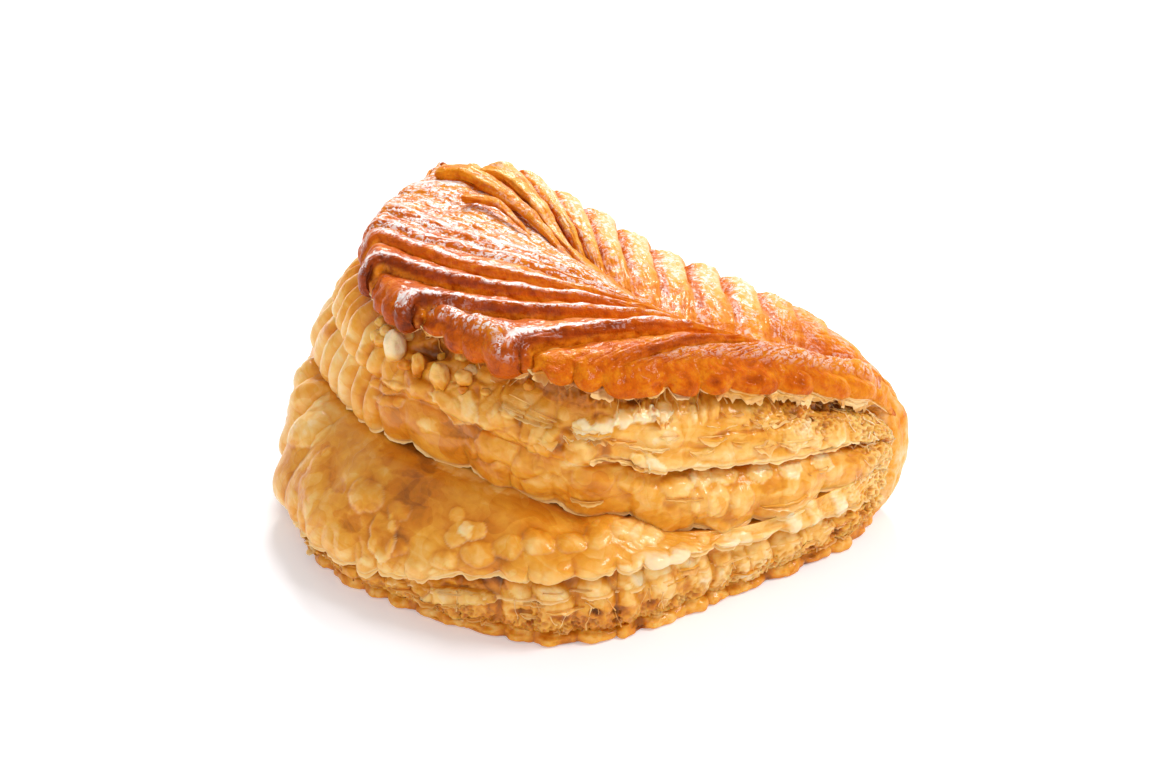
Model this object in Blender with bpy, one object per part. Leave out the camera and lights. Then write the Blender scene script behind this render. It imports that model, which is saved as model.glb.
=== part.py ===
"""An apple turnover: a fluted oval of puff pastry, folded in half, scored like a leaf and baked.

The fold runs along X at the back (+Y). The sealed rim faces the front (-Y), where the layers
have opened in the oven. The origin is the middle of the base, +Z is up, sizes are in metres.

The solid is one closed mesh, made of two pieces of surface and a flat base:
- the side is a stack of rings round the plan outline, one for each row of the profile: crust
  lip, upper half, mouth, lower half and bottom crust, which the fold joins into one bulge;
- the top has columns that run from the rim, and from the fold, to the spine of the leaf, so
  that the scored grooves follow the columns.
"""

import math

import bmesh
import bpy
from mathutils import Vector

# Plan of the base: stations of a curve from the right corner round the front to the left corner,
# and then back along the straight fold.
RIM_PLAN = (
    (0.0640, 0.0440),
    (0.0645, 0.0270),
    (0.0595, 0.0075),
    (0.0520, -0.0110),
    (0.0445, -0.0280),
    (0.0335, -0.0410),
    (0.0160, -0.0475),
    (-0.0030, -0.0490),
    (-0.0220, -0.0470),
    (-0.0380, -0.0380),
    (-0.0500, -0.0250),
    (-0.0590, -0.0080),
    (-0.0630, 0.0110),
    (-0.0635, 0.0290),
    (-0.0595, 0.0440),
)
FOLD_PLAN = (
    (0.0640, 0.0440),
    (0.0550, 0.0485),
    (0.0280, 0.0495),
    (0.0000, 0.0500),
    (-0.0280, 0.0495),
    (-0.0530, 0.0485),
    (-0.0595, 0.0440),
)
PLAN_SAMPLES = 40

# Columns round the outline: each flute of the cutter takes four of them.
FLUTES = 30
COLUMNS_PER_FLUTE = 4
RIM_COLUMNS = FLUTES * COLUMNS_PER_FLUTE
FOLD_COLUMNS = 40
PROFILE_ROWS = 22
TOP_ROWS = 7
FLUTE_DEPTH = 0.0013

# The rim, at evenly spaced stations from the right corner round the front to the left corner:
# where the crust, the upper half and the lower half end, and how far in from the base they are.
CRUST_EDGE_HEIGHT = (
    0.026, 0.038, 0.0465, 0.0505, 0.0525, 0.0525, 0.0520, 0.0515, 0.050, 0.048, 0.046
)
CRUST_INSET = (0.000, 0.002, 0.004, 0.008, 0.0135, 0.018, 0.020, 0.020, 0.0165, 0.015, 0.0135)
UPPER_LIP_HEIGHT = (0.015, 0.018, 0.018, 0.0215, 0.027, 0.028, 0.027, 0.025, 0.024, 0.022, 0.020)
UPPER_LIP_INSET = (0.000, 0.000, 0.001, 0.009, 0.015, 0.018, 0.018, 0.013, 0.004, 0.001, 0.000)
LOWER_LIP_HEIGHT = (0.009, 0.012, 0.015, 0.018, 0.017, 0.010, 0.0055, 0.005, 0.010, 0.014, 0.013)
# How far the gap between the two layers of the upper half cuts in.
LAYER_SPLIT = (0.0, 0.0025, 0.003, 0.003, 0.002, 0.001, 0.0, 0.0, 0.0, 0.001, 0.0)
CRUST_LIP = 0.007
MOUTH_DEPTH = 0.006
LAYER_GAP = 0.003
BASE_CRUST = 0.0028
CORNER_BLEND = 0.05

# The fold, a rounded bulge from the right corner to the left corner.
FOLD_HEIGHT = (0.028, 0.038, 0.042, 0.0435, 0.0485, 0.054, 0.052)
FOLD_TOP_INSET = (-0.001, 0.000, 0.000, 0.000, 0.000, 0.002, 0.009)
FOLD_ROUNDING = 0.008
FOLD_ROUNDNESS = 0.8
FOLD_TOP_ANGLE = math.radians(70)
# The grooves of the fold end after this share of its rows.
FOLD_GROOVE_REACH = 0.6

# The spine of the leaf, a curve through evenly spaced stations from the right corner to the left.
SPINE_X = (0.0585, 0.052, 0.036, 0.013, -0.009, -0.032, -0.053)
SPINE_Y = (0.038, 0.022, 0.011, 0.014, 0.024, 0.032, 0.038)
SPINE_HEIGHT = (0.034, 0.046, 0.051, 0.052, 0.052, 0.052, 0.051)
SPINE_GAP = 0.0008
# How far along the spine the column from each station of the rim ends.
SPINE_SHARE = (0.00, 0.08, 0.15, 0.20, 0.24, 0.27, 0.30, 0.33, 0.37, 0.56, 1.00)
# The same for evenly spaced stations of the fold.
FOLD_SHARE = (0.00, 0.07, 0.14, 0.22, 0.31, 0.40, 0.48, 0.55, 0.61, 0.72, 1.00)
CROWN = 0.003

# Scored grooves: columns of the rim side, and every third column of the fold side.
RIM_GROOVES = (48, 64, 77, 86, 96, 104, 112)
FOLD_GROOVES = range(3, FOLD_COLUMNS - 2, 3)
GROOVE_DEPTH = 0.0026
GROOVE_SHOULDER = 0.3
# A groove fades out over this share of its column as it nears the spine.
GROOVE_FADE = 0.35


def mix(a, b, share):
    return a + (b - a) * share


def ease(low, high, value):
    """0 below low, 1 above high, and a smooth step between."""
    share = min(max((value - low) / (high - low), 0.0), 1.0)
    return share * share * (3.0 - 2.0 * share)


def along(stations, share):
    """The value at share (0 to 1) of a smooth curve through evenly spaced stations."""
    place = min(max(share, 0.0), 1.0) * (len(stations) - 1)
    i = min(int(place), len(stations) - 2)
    t = place - i
    p = [stations[min(max(k, 0), len(stations) - 1)] for k in range(i - 1, i + 3)]
    return p[1] + 0.5 * t * (
        p[2] - p[0] + t * (2 * p[0] - 5 * p[1] + 4 * p[2] - p[3] + t * (3 * (p[1] - p[2]) + p[3] - p[0]))
    )


def curve(stations):
    """A fine polyline through plan stations."""
    count = PLAN_SAMPLES * (len(stations) - 1)
    xs, ys = zip(*stations)
    return [(along(xs, k / count), along(ys, k / count)) for k in range(count + 1)]


def spread(points, count):
    """count + 1 points evenly spaced along a polyline."""
    lengths = [0.0]
    for a, b in zip(points, points[1:]):
        lengths.append(lengths[-1] + math.dist(a, b))
    out, i = [], 0
    for k in range(count + 1):
        want = lengths[-1] * k / count
        while i < len(points) - 2 and lengths[i + 1] < want:
            i += 1
        share = (want - lengths[i]) / (lengths[i + 1] - lengths[i])
        out.append(tuple(mix(p, q, share) for p, q in zip(points[i], points[i + 1])))
    return out


def inward(x, y):
    """Unit direction from a point of the outline towards the middle line of the pastry."""
    return Vector((-0.55 * x, 0.004 - y)).normalized()


def flute(s, turn):
    """The scalloped edge: 1 on a flute's crown and -1 between two flutes."""
    return math.cos(2 * math.pi * (FLUTES * s + turn))


def rim_profile(s, notch):
    """(inset, height) of each row of the side at share s of the rim, from the top down.

    notch is how deep a scored groove cuts the crust there.
    """
    crust, crust_in = along(CRUST_EDGE_HEIGHT, s), along(CRUST_INSET, s)
    upper, upper_in = along(UPPER_LIP_HEIGHT, s), along(UPPER_LIP_INSET, s)
    lower = along(LOWER_LIP_HEIGHT, s)
    crust_out = crust_in - FLUTE_DEPTH * flute(s, 0.0)
    upper_out = upper_in - FLUTE_DEPTH * flute(s, 0.3)
    lower_out = -FLUTE_DEPTH * flute(s, 0.6)
    base_out = -0.7 * FLUTE_DEPTH * flute(s, 0.1)
    hang = 0.0008 * flute(s, 0.0)

    def wall(share):
        return mix(crust_in, upper_in, share), mix(crust, upper, share)

    def slope(share):
        return mix(upper_in, 0.0, share), mix(upper, lower, share)

    return (
        (crust_in + 0.0035, crust + CRUST_LIP - notch),
        (crust_out + 0.0008, crust + 0.65 * CRUST_LIP - notch),
        (crust_out, crust + 0.25 * CRUST_LIP - 0.6 * notch),
        (crust_out + 0.0015, crust - hang),
        (wall(0.08)[0] + LAYER_GAP, wall(0.08)[1]),
        (wall(0.26)[0] + 0.0005, wall(0.26)[1]),
        (wall(0.50)[0] - 0.0005 - 0.5 * FLUTE_DEPTH * flute(s, 0.5), wall(0.50)[1]),
        (wall(0.58)[0] + along(LAYER_SPLIT, s), wall(0.58)[1]),
        (wall(0.74)[0] - 0.0005, wall(0.74)[1]),
        (upper_out, wall(0.90)[1]),
        (upper_out + 0.0020, upper),
        (upper_in + MOUTH_DEPTH, upper - 0.0012),
        (slope(0.30)[0], slope(0.12)[1]),
        (slope(0.68)[0], slope(0.42)[1]),
        (lower_out + 0.0004, slope(0.86)[1]),
        (lower_out + 0.0014, lower),
        (LAYER_GAP, mix(lower, BASE_CRUST, 0.30)),
        (0.0010 + 0.5 * lower_out, mix(lower, BASE_CRUST, 0.62)),
        (0.8 * LAYER_GAP, BASE_CRUST + 0.0004),
        (base_out + 0.0002, BASE_CRUST - 0.0004),
        (base_out, 0.0011),
        (0.0012, 0.0),
    )


def fold_profile(f):
    """(inset, height) of each row of the side at share f of the fold: one rounded bulge."""
    height, top_inset = along(FOLD_HEIGHT, f), along(FOLD_TOP_INSET, f)
    rows = []
    for row in range(PROFILE_ROWS):
        angle = mix(FOLD_TOP_ANGLE, math.radians(-90), row / (PROFILE_ROWS - 1))
        rise = (math.sin(angle) + 1) / (math.sin(FOLD_TOP_ANGLE) + 1)
        rounding = FOLD_ROUNDING * (1 - max(math.cos(angle), 0.0) ** FOLD_ROUNDNESS)
        rows.append((rounding + top_inset * rise, height * rise))
    return rows


def place(point, inset, height):
    """The point of the side that lies inset from a point of the outline, at a height."""
    x, y = point
    step = inward(x, y) * inset
    return Vector((x + step.x, y + step.y, height))


def groove_cut(column, grooves):
    """How deep the nearest scored groove cuts at a column."""
    away = min(abs(column - groove) for groove in grooves)
    return GROOVE_DEPTH * {0: 1.0, 1: GROOVE_SHOULDER}.get(away, 0.0)


def rim_column(column, point):
    """The side's points in one column of the rim."""
    s = column / RIM_COLUMNS
    rows = rim_profile(s, groove_cut(column, RIM_GROOVES))
    opened = ease(0.0, CORNER_BLEND, min(s, 1 - s))
    corner = fold_profile(0.0 if s < 0.5 else 1.0)
    return [
        place(point, mix(c[0], r[0], opened), mix(c[1], r[1], opened)) for c, r in zip(corner, rows)
    ]


def fold_column(column, point):
    """The side's points in one column of the fold."""
    cut = groove_cut(column, FOLD_GROOVES)
    points = []
    for row, (inset, height) in enumerate(fold_profile(column / FOLD_COLUMNS)):
        fade = max(0.0, 1 - row / (FOLD_GROOVE_REACH * PROFILE_ROWS))
        points.append(place(point, inset + 0.6 * cut * fade, height - cut * fade))
    return points


def spine_point(share, side):
    """A point beside the spine of the leaf; side is +1 towards the fold, -1 towards the rim."""
    gap = SPINE_GAP * side * math.sin(math.pi * share)
    height = along(SPINE_HEIGHT, share) - 0.5 * GROOVE_DEPTH
    return Vector((along(SPINE_X, share), along(SPINE_Y, share) + gap, height))


def top_column(start, end, cut):
    """Points between a column's start on the edge and its end on the spine, both left out."""
    points = []
    for row in range(1, TOP_ROWS):
        share = row / TOP_ROWS
        point = start.lerp(end, share)
        bulge = math.sin(math.pi * share)
        fade = ease(0.0, GROOVE_FADE, 1 - share)
        point.z += CROWN * bulge - cut * fade
        points.append(point)
    return points


def zip_rows(mesh, first, second):
    """Faces between two rows of (share, vertex) that start and end at the same two vertices."""
    i, k = 0, 0
    while i < len(first) - 1 or k < len(second) - 1:
        step_first = k == len(second) - 1 or (
            i < len(first) - 1 and first[i + 1][0] <= second[k + 1][0]
        )
        corners = [first[i][1], second[k][1]]
        if step_first:
            i += 1
            corners.append(first[i][1])
        else:
            k += 1
            corners.append(second[k][1])
        if len(set(corners)) == 3:
            mesh.faces.new(corners)


def centre(mesh):
    """Move the mesh so that its extent in X and Y is centred on the origin."""
    for axis in (0, 1):
        places = [vert.co[axis] for vert in mesh.verts]
        middle = (min(places) + max(places)) / 2
        for vert in mesh.verts:
            vert.co[axis] -= middle


def build_pastry():
    mesh = bmesh.new()
    rim_points = spread(curve(RIM_PLAN), RIM_COLUMNS)
    fold_points = spread(curve(FOLD_PLAN), FOLD_COLUMNS)

    # The side: rim columns from the right corner to the left, then the fold's, back again.
    columns = [rim_column(c, p) for c, p in enumerate(rim_points)]
    columns += [fold_column(c, fold_points[c]) for c in range(FOLD_COLUMNS - 1, 0, -1)]
    side = [[mesh.verts.new(point) for point in column] for column in columns]
    for column, following in zip(side, side[1:] + side[:1]):
        for row in range(PROFILE_ROWS - 1):
            mesh.faces.new(
                (column[row], column[row + 1], following[row + 1], following[row])
            )
    mesh.faces.new([column[-1] for column in side])

    # The top: each column ends beside the spine.
    rim_top = []
    for c in range(RIM_COLUMNS + 1):
        share = along(SPINE_SHARE, c / RIM_COLUMNS)
        end = spine_point(share, -1)
        start = side[c][0].co
        inner = top_column(start, end, groove_cut(c, RIM_GROOVES))
        verts = [side[c][0]] + [mesh.verts.new(p) for p in inner] + [mesh.verts.new(end)]
        rim_top.append((share, verts))
    fold_top = [rim_top[0]]
    for c in range(1, FOLD_COLUMNS):
        share = along(FOLD_SHARE, c / FOLD_COLUMNS)
        end = spine_point(share, 1)
        edge = side[-c][0]
        inner = top_column(edge.co, end, groove_cut(c, FOLD_GROOVES))
        verts = [edge] + [mesh.verts.new(p) for p in inner] + [mesh.verts.new(end)]
        fold_top.append((share, verts))
    fold_top.append(rim_top[-1])
    for patch in (rim_top, fold_top):
        for (_, column), (_, following) in zip(patch, patch[1:]):
            for row in range(TOP_ROWS):
                mesh.faces.new(
                    (column[row], column[row + 1], following[row + 1], following[row])
                )
    zip_rows(
        mesh,
        [(share, verts[-1]) for share, verts in rim_top],
        [(share, verts[-1]) for share, verts in fold_top],
    )
    bmesh.ops.recalc_face_normals(mesh, faces=mesh.faces)
    if mesh.calc_volume(signed=True) < 0:
        bmesh.ops.reverse_faces(mesh, faces=mesh.faces)
    centre(mesh)
    return mesh


def crust_material():
    """Egg-washed puff pastry, baked to a golden brown."""
    material = bpy.data.materials.new("crust")
    material.use_nodes = True
    shader = material.node_tree.nodes["Principled BSDF"]
    shader.inputs["Base Color"].default_value = (0.60, 0.27, 0.07, 1.0)
    shader.inputs["Roughness"].default_value = 0.45
    shader.inputs["Metallic"].default_value = 0.0
    return material


def main():
    for obj in list(bpy.data.objects):
        bpy.data.objects.remove(obj)
    mesh = build_pastry()
    data = bpy.data.meshes.new("pastry")
    mesh.to_mesh(data)
    mesh.free()
    data.shade_smooth()
    data.set_sharp_from_angle(angle=math.radians(50))
    data.materials.append(crust_material())
    pastry = bpy.data.objects.new("pastry", data)
    bpy.context.scene.collection.objects.link(pastry)


main()
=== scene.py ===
"""Looks for the turnover pastry: an apple turnover of puff pastry, on a white table.

The forms are sheets of points, in metres. Most are lofted from stations round the plan outline,
as the solid is, and then given lobes, blisters, peeled leaves, crumb and noise.
"""

import math

import bpy
import numpy as np
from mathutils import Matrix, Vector


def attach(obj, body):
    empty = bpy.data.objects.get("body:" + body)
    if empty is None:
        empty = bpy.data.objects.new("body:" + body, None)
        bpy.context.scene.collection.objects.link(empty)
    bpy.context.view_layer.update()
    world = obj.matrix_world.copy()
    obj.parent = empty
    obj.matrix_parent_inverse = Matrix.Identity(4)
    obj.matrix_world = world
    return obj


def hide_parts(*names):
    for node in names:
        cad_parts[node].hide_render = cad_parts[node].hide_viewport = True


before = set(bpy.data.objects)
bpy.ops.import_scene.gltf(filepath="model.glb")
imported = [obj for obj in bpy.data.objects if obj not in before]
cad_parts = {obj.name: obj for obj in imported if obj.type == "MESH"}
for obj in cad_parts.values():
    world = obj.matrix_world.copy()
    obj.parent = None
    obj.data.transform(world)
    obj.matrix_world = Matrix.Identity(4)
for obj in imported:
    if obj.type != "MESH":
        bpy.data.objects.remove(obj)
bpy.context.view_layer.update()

# ---------------------------------------------------------------- shape shared with the solid
# Plan of the base: stations of a curve from the right corner round the front to the left corner,
# and then back along the fold.
RIM_PLAN = (
    (0.0640, 0.0440), (0.0645, 0.0270), (0.0595, 0.0075), (0.0520, -0.0110), (0.0445, -0.0280),
    (0.0335, -0.0410), (0.0160, -0.0475), (-0.0030, -0.0490), (-0.0220, -0.0470),
    (-0.0380, -0.0380), (-0.0500, -0.0250), (-0.0590, -0.0080), (-0.0630, 0.0110),
    (-0.0635, 0.0290), (-0.0595, 0.0440),
)
FOLD_PLAN = (
    (0.0640, 0.0440), (0.0550, 0.0485), (0.0280, 0.0495), (0.0000, 0.0500), (-0.0280, 0.0495),
    (-0.0530, 0.0485), (-0.0595, 0.0440),
)
PLAN_CENTRE = (0.00069, 0.00006)  # the middle of that plan, which is the frame's origin

# Evenly spaced stations along the rim, from the right corner round the front to the left corner:
# where the crust, the upper half and the lower half end, and how far in from the plan they are.
CRUST_EDGE_HEIGHT = (
    0.026, 0.038, 0.0465, 0.0505, 0.0525, 0.0525, 0.0520, 0.0515, 0.050, 0.048, 0.046
)
CRUST_INSET = (0.000, 0.002, 0.004, 0.008, 0.0135, 0.018, 0.020, 0.020, 0.0165, 0.015, 0.0135)
UPPER_LIP_HEIGHT = (0.015, 0.018, 0.018, 0.0215, 0.027, 0.028, 0.027, 0.025, 0.024, 0.022, 0.020)
UPPER_LIP_INSET = (0.000, 0.000, 0.001, 0.009, 0.015, 0.018, 0.018, 0.013, 0.004, 0.001, 0.000)
LOWER_LIP_HEIGHT = (0.009, 0.012, 0.015, 0.018, 0.017, 0.010, 0.0055, 0.005, 0.010, 0.014, 0.013)
CRUST_LIP = 0.007  # thickness of the crust's rim
BASE_CRUST = 0.0028  # thickness of the bottom crust
CORNER_BLEND = 0.05  # share of the rim in which it sinks into the fold's bulge

# The fold's bulge, the spine of the leaf, and where the columns of the top meet that spine.
FOLD_HEIGHT = (0.028, 0.038, 0.042, 0.0435, 0.0485, 0.054, 0.052)
FOLD_TOP_INSET = (-0.001, 0.000, 0.000, 0.000, 0.000, 0.002, 0.009)
FOLD_ROUNDING = 0.008
FOLD_ROUNDNESS = 0.8
FOLD_TOP_ANGLE = math.radians(70)
SPINE_X = (0.0585, 0.052, 0.036, 0.013, -0.009, -0.032, -0.053)
SPINE_Y = (0.038, 0.022, 0.011, 0.014, 0.024, 0.032, 0.038)
SPINE_HEIGHT = (0.034, 0.046, 0.051, 0.052, 0.052, 0.052, 0.051)
SPINE_SHARE = (0.00, 0.08, 0.15, 0.20, 0.24, 0.27, 0.30, 0.33, 0.37, 0.56, 1.00)
FOLD_SHARE = (0.00, 0.07, 0.14, 0.22, 0.31, 0.40, 0.48, 0.55, 0.61, 0.72, 1.00)
CROWN = 0.003  # how much the top rises between spine and edge

# Scored strips: where each groove meets the rim, and how deep it is there.
RIM_GROOVES = (0.0, 0.31, 0.40, 0.533, 0.642, 0.717, 0.800, 0.867, 0.933, 1.0)
RIM_STEPS = (0.0020, 0.0034, 0.0050, 0.0044, 0.0036, 0.0024, 0.0013, 0.0011, 0.0009)
FOLD_GROOVES = tuple(k * 0.075 for k in range(13)) + (1.0,)
FOLD_DEPTH = 0.0034

# Rows of lumps, leaves, dents and cracks, where the photo shows such things. Each row has a count,
# its two ends round the rim, its two ends down the sheet (all as shares), half width and half
# height in mm as seen from the camera, turn in degrees, rise in mm, change of tone, and how much
# each is a leaf with a crisp edge.
# A darker tone in a dent, crack, crease or hollow is painted shade.
UPPER_ROWS = (
    (3, 0.76, 0.62, 0.62, 0.34, 1.9, 1.9, 0, 0.3, 0.17, 0.0),  # amber spots on the pleats
    (2, 0.58, 0.57, 0.52, 0.61, 3.8, 1.4, -18, 1.0, -0.02, 0.6),  # leaves beside the apron
    (2, 0.53, 0.43, 0.39, 0.32, 3.2, 2.6, 0, 1.3, -0.09, 0.2),  # lumps below the pebbles
    (1, 0.48, 0.48, 0.36, 0.36, 5.0, 3.7, -25, 0.7, -0.14, 1.0),  # the apron's top leaf
    (1, 0.48, 0.48, 0.60, 0.60, 5.5, 1.8, -8, -0.3, 0.10, 0.7),  # amber on the apron
    (2, 0.52, 0.36, 0.65, 0.53, 2.4, 1.5, -10, 0.4, -0.15, 0.0),
    (2, 0.39, 0.35, 0.38, 0.40, 3.5, 3.3, 8, 1.5, -0.18, 0.3),  # pale lumps at the valley
    (4, 0.46, 0.33, 0.28, 0.38, 1.1, 2.6, 0, -0.6, 0.20, 0.0),  # dents between them, darkened with painted shade
    (3, 0.42, 0.39, 0.48, 0.67, 4.0, 1.8, -12, 0.1, 0.06, 0.0),
    (5, 0.355, 0.27, 0.23, 0.13, 2.5, 2.2, -10, 1.1, -0.24, 1.0),  # torn leaves under the crust
    (3, 0.24, 0.215, 0.14, 0.15, 1.1, 2.8, 7, 0.8, -0.15, 0.4),
    (3, 0.37, 0.30, 0.27, 0.10, 2.4, 1.3, -8, -0.8, 0.22, 0.0),  # hollows among them, darkened with painted shade
    (2, 0.30, 0.26, 0.62, 0.64, 3.4, 2.6, -5, 1.2, -0.05, 0.3),  # folds beside the right bulge
    (2, 0.295, 0.28, 0.51, 0.52, 3.4, 1.3, -40, 1.0, -0.16, 0.7),
    (2, 0.31, 0.27, 0.73, 0.69, 2.4, 2.0, -20, -0.5, 0.07, 0.0),
    (1, 0.34, 0.34, 0.63, 0.63, 4.3, 2.7, 0, 1.0, 0.05, 0.2),
    (2, 0.275, 0.19, 0.25, 0.16, 4.3, 2.6, 0, 0.9, -0.12, 0.2),  # soft swells on the right
    (3, 0.243, 0.185, 0.29, 0.24, 3.4, 0.8, 9, -0.4, 0.18, 0.0),  # creases, darkened with painted shade
    (1, 0.205, 0.205, 0.36, 0.36, 9.1, 1.8, 10, 0.8, -0.14, 0.3),  # the long leaf
    (3, 0.15, 0.105, 0.32, 0.31, 2.7, 3.4, 17, 0.8, -0.13, 0.8),  # flutes at the right end
    (4, 0.155, 0.077, 0.22, 0.09, 1.8, 1.3, 5, -0.7, 0.28, 0.0),  # nests of crumb, darkened with painted shade
    (5, 0.235, 0.12, 0.57, 0.62, 2.6, 2.2, -10, 0.6, -0.18, 0.9),  # pale leaves on the bulge
    (1, 0.17, 0.17, 0.65, 0.65, 3.2, 3.5, 20, -0.3, 0.16, 0.7),
    (3, 0.237, 0.203, 0.71, 0.71, 2.4, 3.1, -5, 1.0, -0.08, 0.5),  # folds on the bulge
    (3, 0.18, 0.145, 0.75, 0.85, 5.2, 0.9, 16, 0.0, 0.09, 0.2),  # creases at its lip, darkened with painted shade
    (1, 0.22, 0.22, 0.84, 0.84, 3.2, 1.6, 0, 1.2, 0.04, 0.2),
    (1, 0.54, 0.54, 0.19, 0.19, 6.9, 3.0, -5, -2.2, 0.34, 0.0),  # the hollow round the pebbles, darkened with painted shade
)
LOWER_ROWS = (
    (2, 0.72, 0.68, 0.20, 0.32, 5.2, 3.2, 28, 1.5, -0.09, 0.2),  # pleats at the left
    (1, 0.62, 0.62, 0.44, 0.44, 2.9, 9.6, -8, 0.8, -0.12, 0.3),
    (1, 0.59, 0.59, 0.25, 0.25, 6.2, 5.2, 0, 0.3, -0.12, 0.0),  # the dome's pale left side
    (2, 0.54, 0.52, 0.10, 0.28, 6.0, 3.6, -8, -0.2, 0.13, 0.5),  # amber on the dome
    (2, 0.59, 0.55, 0.38, 0.46, 2.7, 1.8, -10, -0.3, 0.11, 0.7),
    (1, 0.55, 0.55, 0.37, 0.37, 3.5, 3.3, 0, 1.1, -0.07, 0.4),  # the round blister
    (1, 0.52, 0.52, 0.49, 0.49, 2.8, 4.6, 0, 0.9, -0.14, 0.9),
    (2, 0.51, 0.50, 0.39, 0.52, 2.2, 1.9, 0, 0.6, -0.07, 0.3),
    (2, 0.53, 0.495, 0.64, 0.75, 4.4, 3.3, 5, 1.0, -0.02, 0.2),
    (8, 0.455, 0.285, 0.54, 0.16, 3.6, 3.0, 0, 1.1, -0.10, 0.25),  # lumps along the lip
    (2, 0.452, 0.437, 0.41, 0.38, 3.1, 1.9, 20, 0.7, -0.19, 0.7),  # a pale leaf
    (4, 0.50, 0.34, 0.50, 0.22, 4.4, 3.0, -8, -0.2, 0.10, 0.25),  # amber between the lumps
    (3, 0.48, 0.365, 0.09, 0.05, 5.8, 1.7, -14, 0.2, -0.22, 0.4),  # pale streaks at the mouth
    (1, 0.325, 0.325, 0.02, 0.02, 6.0, 2.3, -10, -0.2, 0.14, 0.5),
    (1, 0.443, 0.443, 0.84, 0.84, 6.9, 1.6, -5, 1.6, -0.14, 1.0),  # the leaf under the lip
    # painted shadow above that leaf
    (1, 0.446, 0.446, 0.79, 0.79, 4.6, 0.7, -5, -0.9, 0.18, 0.0),
    (6, 0.396, 0.252, 0.78, 0.75, 4.0, 3.0, 2, 1.1, -0.16, 0.35),  # pale lumps below the lip
    (5, 0.39, 0.28, 0.86, 0.90, 2.6, 1.2, 0, -0.75, 0.31, 0.0),  # cracks, darkened with painted shade
    (3, 0.45, 0.19, 0.93, 0.93, 2.6, 1.6, 0, 0.9, -0.03, 0.5),
    (1, 0.21, 0.21, 0.55, 0.55, 4.6, 2.3, 5, 0.8, -0.17, 0.3),
    (3, 0.156, 0.10, 0.42, 0.50, 1.9, 3.5, 25, 0.9, -0.18, 0.4),  # flutes at the right end
    (2, 0.127, 0.105, 0.92, 0.87, 2.4, 1.4, 15, -0.7, 0.33, 0.0),  # holes in the crumb, darkened with painted shade
)
CRUST_ROWS = (
    (4, 0.283, 0.17, 0.866, 0.835, 2.6, 1.8, 3, -0.85, 0.04, 0.0),  # thumbprints on the rim, a little darkened with painted shade
    # darker patches beside them: painted shade
    (2, 0.227, 0.188, 0.82, 0.77, 3.8, 1.4, 0, 0.2, 0.055, 0.0),
)

FINE = 1.0  # scales the counts of steps

# The camera looks from the front right. Marks are sized as they are seen from there.
CAMERA_AZIMUTH, CAMERA_ELEVATION = math.radians(34), math.radians(31)


# ---------------------------------------------------------------- numbers
def mix(a, b, share):
    return a + (b - a) * share


def ease(low, high, value):
    share = np.clip((value - low) / (high - low), 0.0, 1.0)
    return share * share * (3.0 - 2.0 * share)


def band(start, end, value):
    """1 in the middle: it grows over the span start and falls again over the span end."""
    return ease(*start, value) * (1 - ease(*end, value))


def bell(value, middle, width):
    return np.exp(-(((value - middle) / width) ** 2))


def curve(p0, p1, p2, p3, t):
    """Catmull-Rom between p1 and p2, at t from 0 to 1."""
    bend = 2 * p0 - 5 * p1 + 4 * p2 - p3 + t * (3 * (p1 - p2) + p3 - p0)
    return p1 + 0.5 * t * (p2 - p0 + t * bend)


def along(stations, share):
    """Catmull-Rom through evenly spaced stations, for an array of shares."""
    table = np.asarray(stations, float)
    last = len(table) - 1
    spot = np.clip(np.asarray(share, float), 0.0, 1.0) * last
    i = np.minimum(spot.astype(int), last - 1)
    before, after = table[np.maximum(i - 1, 0)], table[np.minimum(i + 2, last)]
    return curve(before, table[i], table[i + 1], after, spot - i)


def hashed(cells, seed):
    h = cells[..., 0] * 374761393 + cells[..., 1] * 668265263 + cells[..., 2] * 2246822519
    h = (h + seed * 3266489917) & 0xFFFFFFFF
    h = ((h ^ (h >> 15)) * 2246822519) & 0xFFFFFFFF
    h = ((h ^ (h >> 13)) * 3266489917) & 0xFFFFFFFF
    return h ^ (h >> 16)


ANGLES = np.random.default_rng(5).normal(size=(256, 3))
GRADIENTS = ANGLES / np.linalg.norm(ANGLES, axis=1)[:, None]


def noise(points, size, seed=0):
    """Gradient noise of about -1 to 1, with features of the given size in metres."""
    p = np.asarray(points) / size
    cell = np.floor(p).astype(np.int64)
    f = p - cell
    u = f * f * f * (f * (f * 6 - 15) + 10)
    total = np.zeros(p.shape[:-1])
    for corner in np.ndindex(2, 2, 2):
        c = np.array(corner)
        slope = GRADIENTS[hashed(cell + c, seed) & 255]
        weight = np.prod(np.where(c == 1, u, 1 - u), axis=-1)
        total += weight * np.sum((f - c) * slope, axis=-1)
    return total * 1.7


def rough(points, size, octaves, seed=0, gain=0.5):
    """Several octaves of noise."""
    total, level, norm = 0.0, 1.0, 0.0
    for k in range(octaves):
        total = total + level * noise(points, size / 2**k, seed + 17 * k)
        norm += level
        level *= gain
    return total / norm


def cells(points, size, seed=0):
    """Distances to the nearest and second nearest scattered seed, in cells, and a value per cell."""
    p = np.asarray(points) / size
    cell = np.floor(p).astype(np.int64)
    near = np.full(p.shape[:-1], 9.0)
    second = near.copy()
    value = np.zeros(p.shape[:-1])
    for offset in np.ndindex(3, 3, 3):
        there = cell + np.array(offset) - 1
        spot = np.stack([(hashed(there, seed + k) & 1023) / 1023.0 for k in (1, 2, 3)], axis=-1)
        d = np.linalg.norm(there + spot - p, axis=-1)
        closer = d < near
        second = np.where(closer, near, np.minimum(second, d))
        value = np.where(closer, (hashed(there, seed + 9) & 1023) / 1023.0, value)
        near = np.where(closer, d, near)
    return near, second, value


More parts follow.
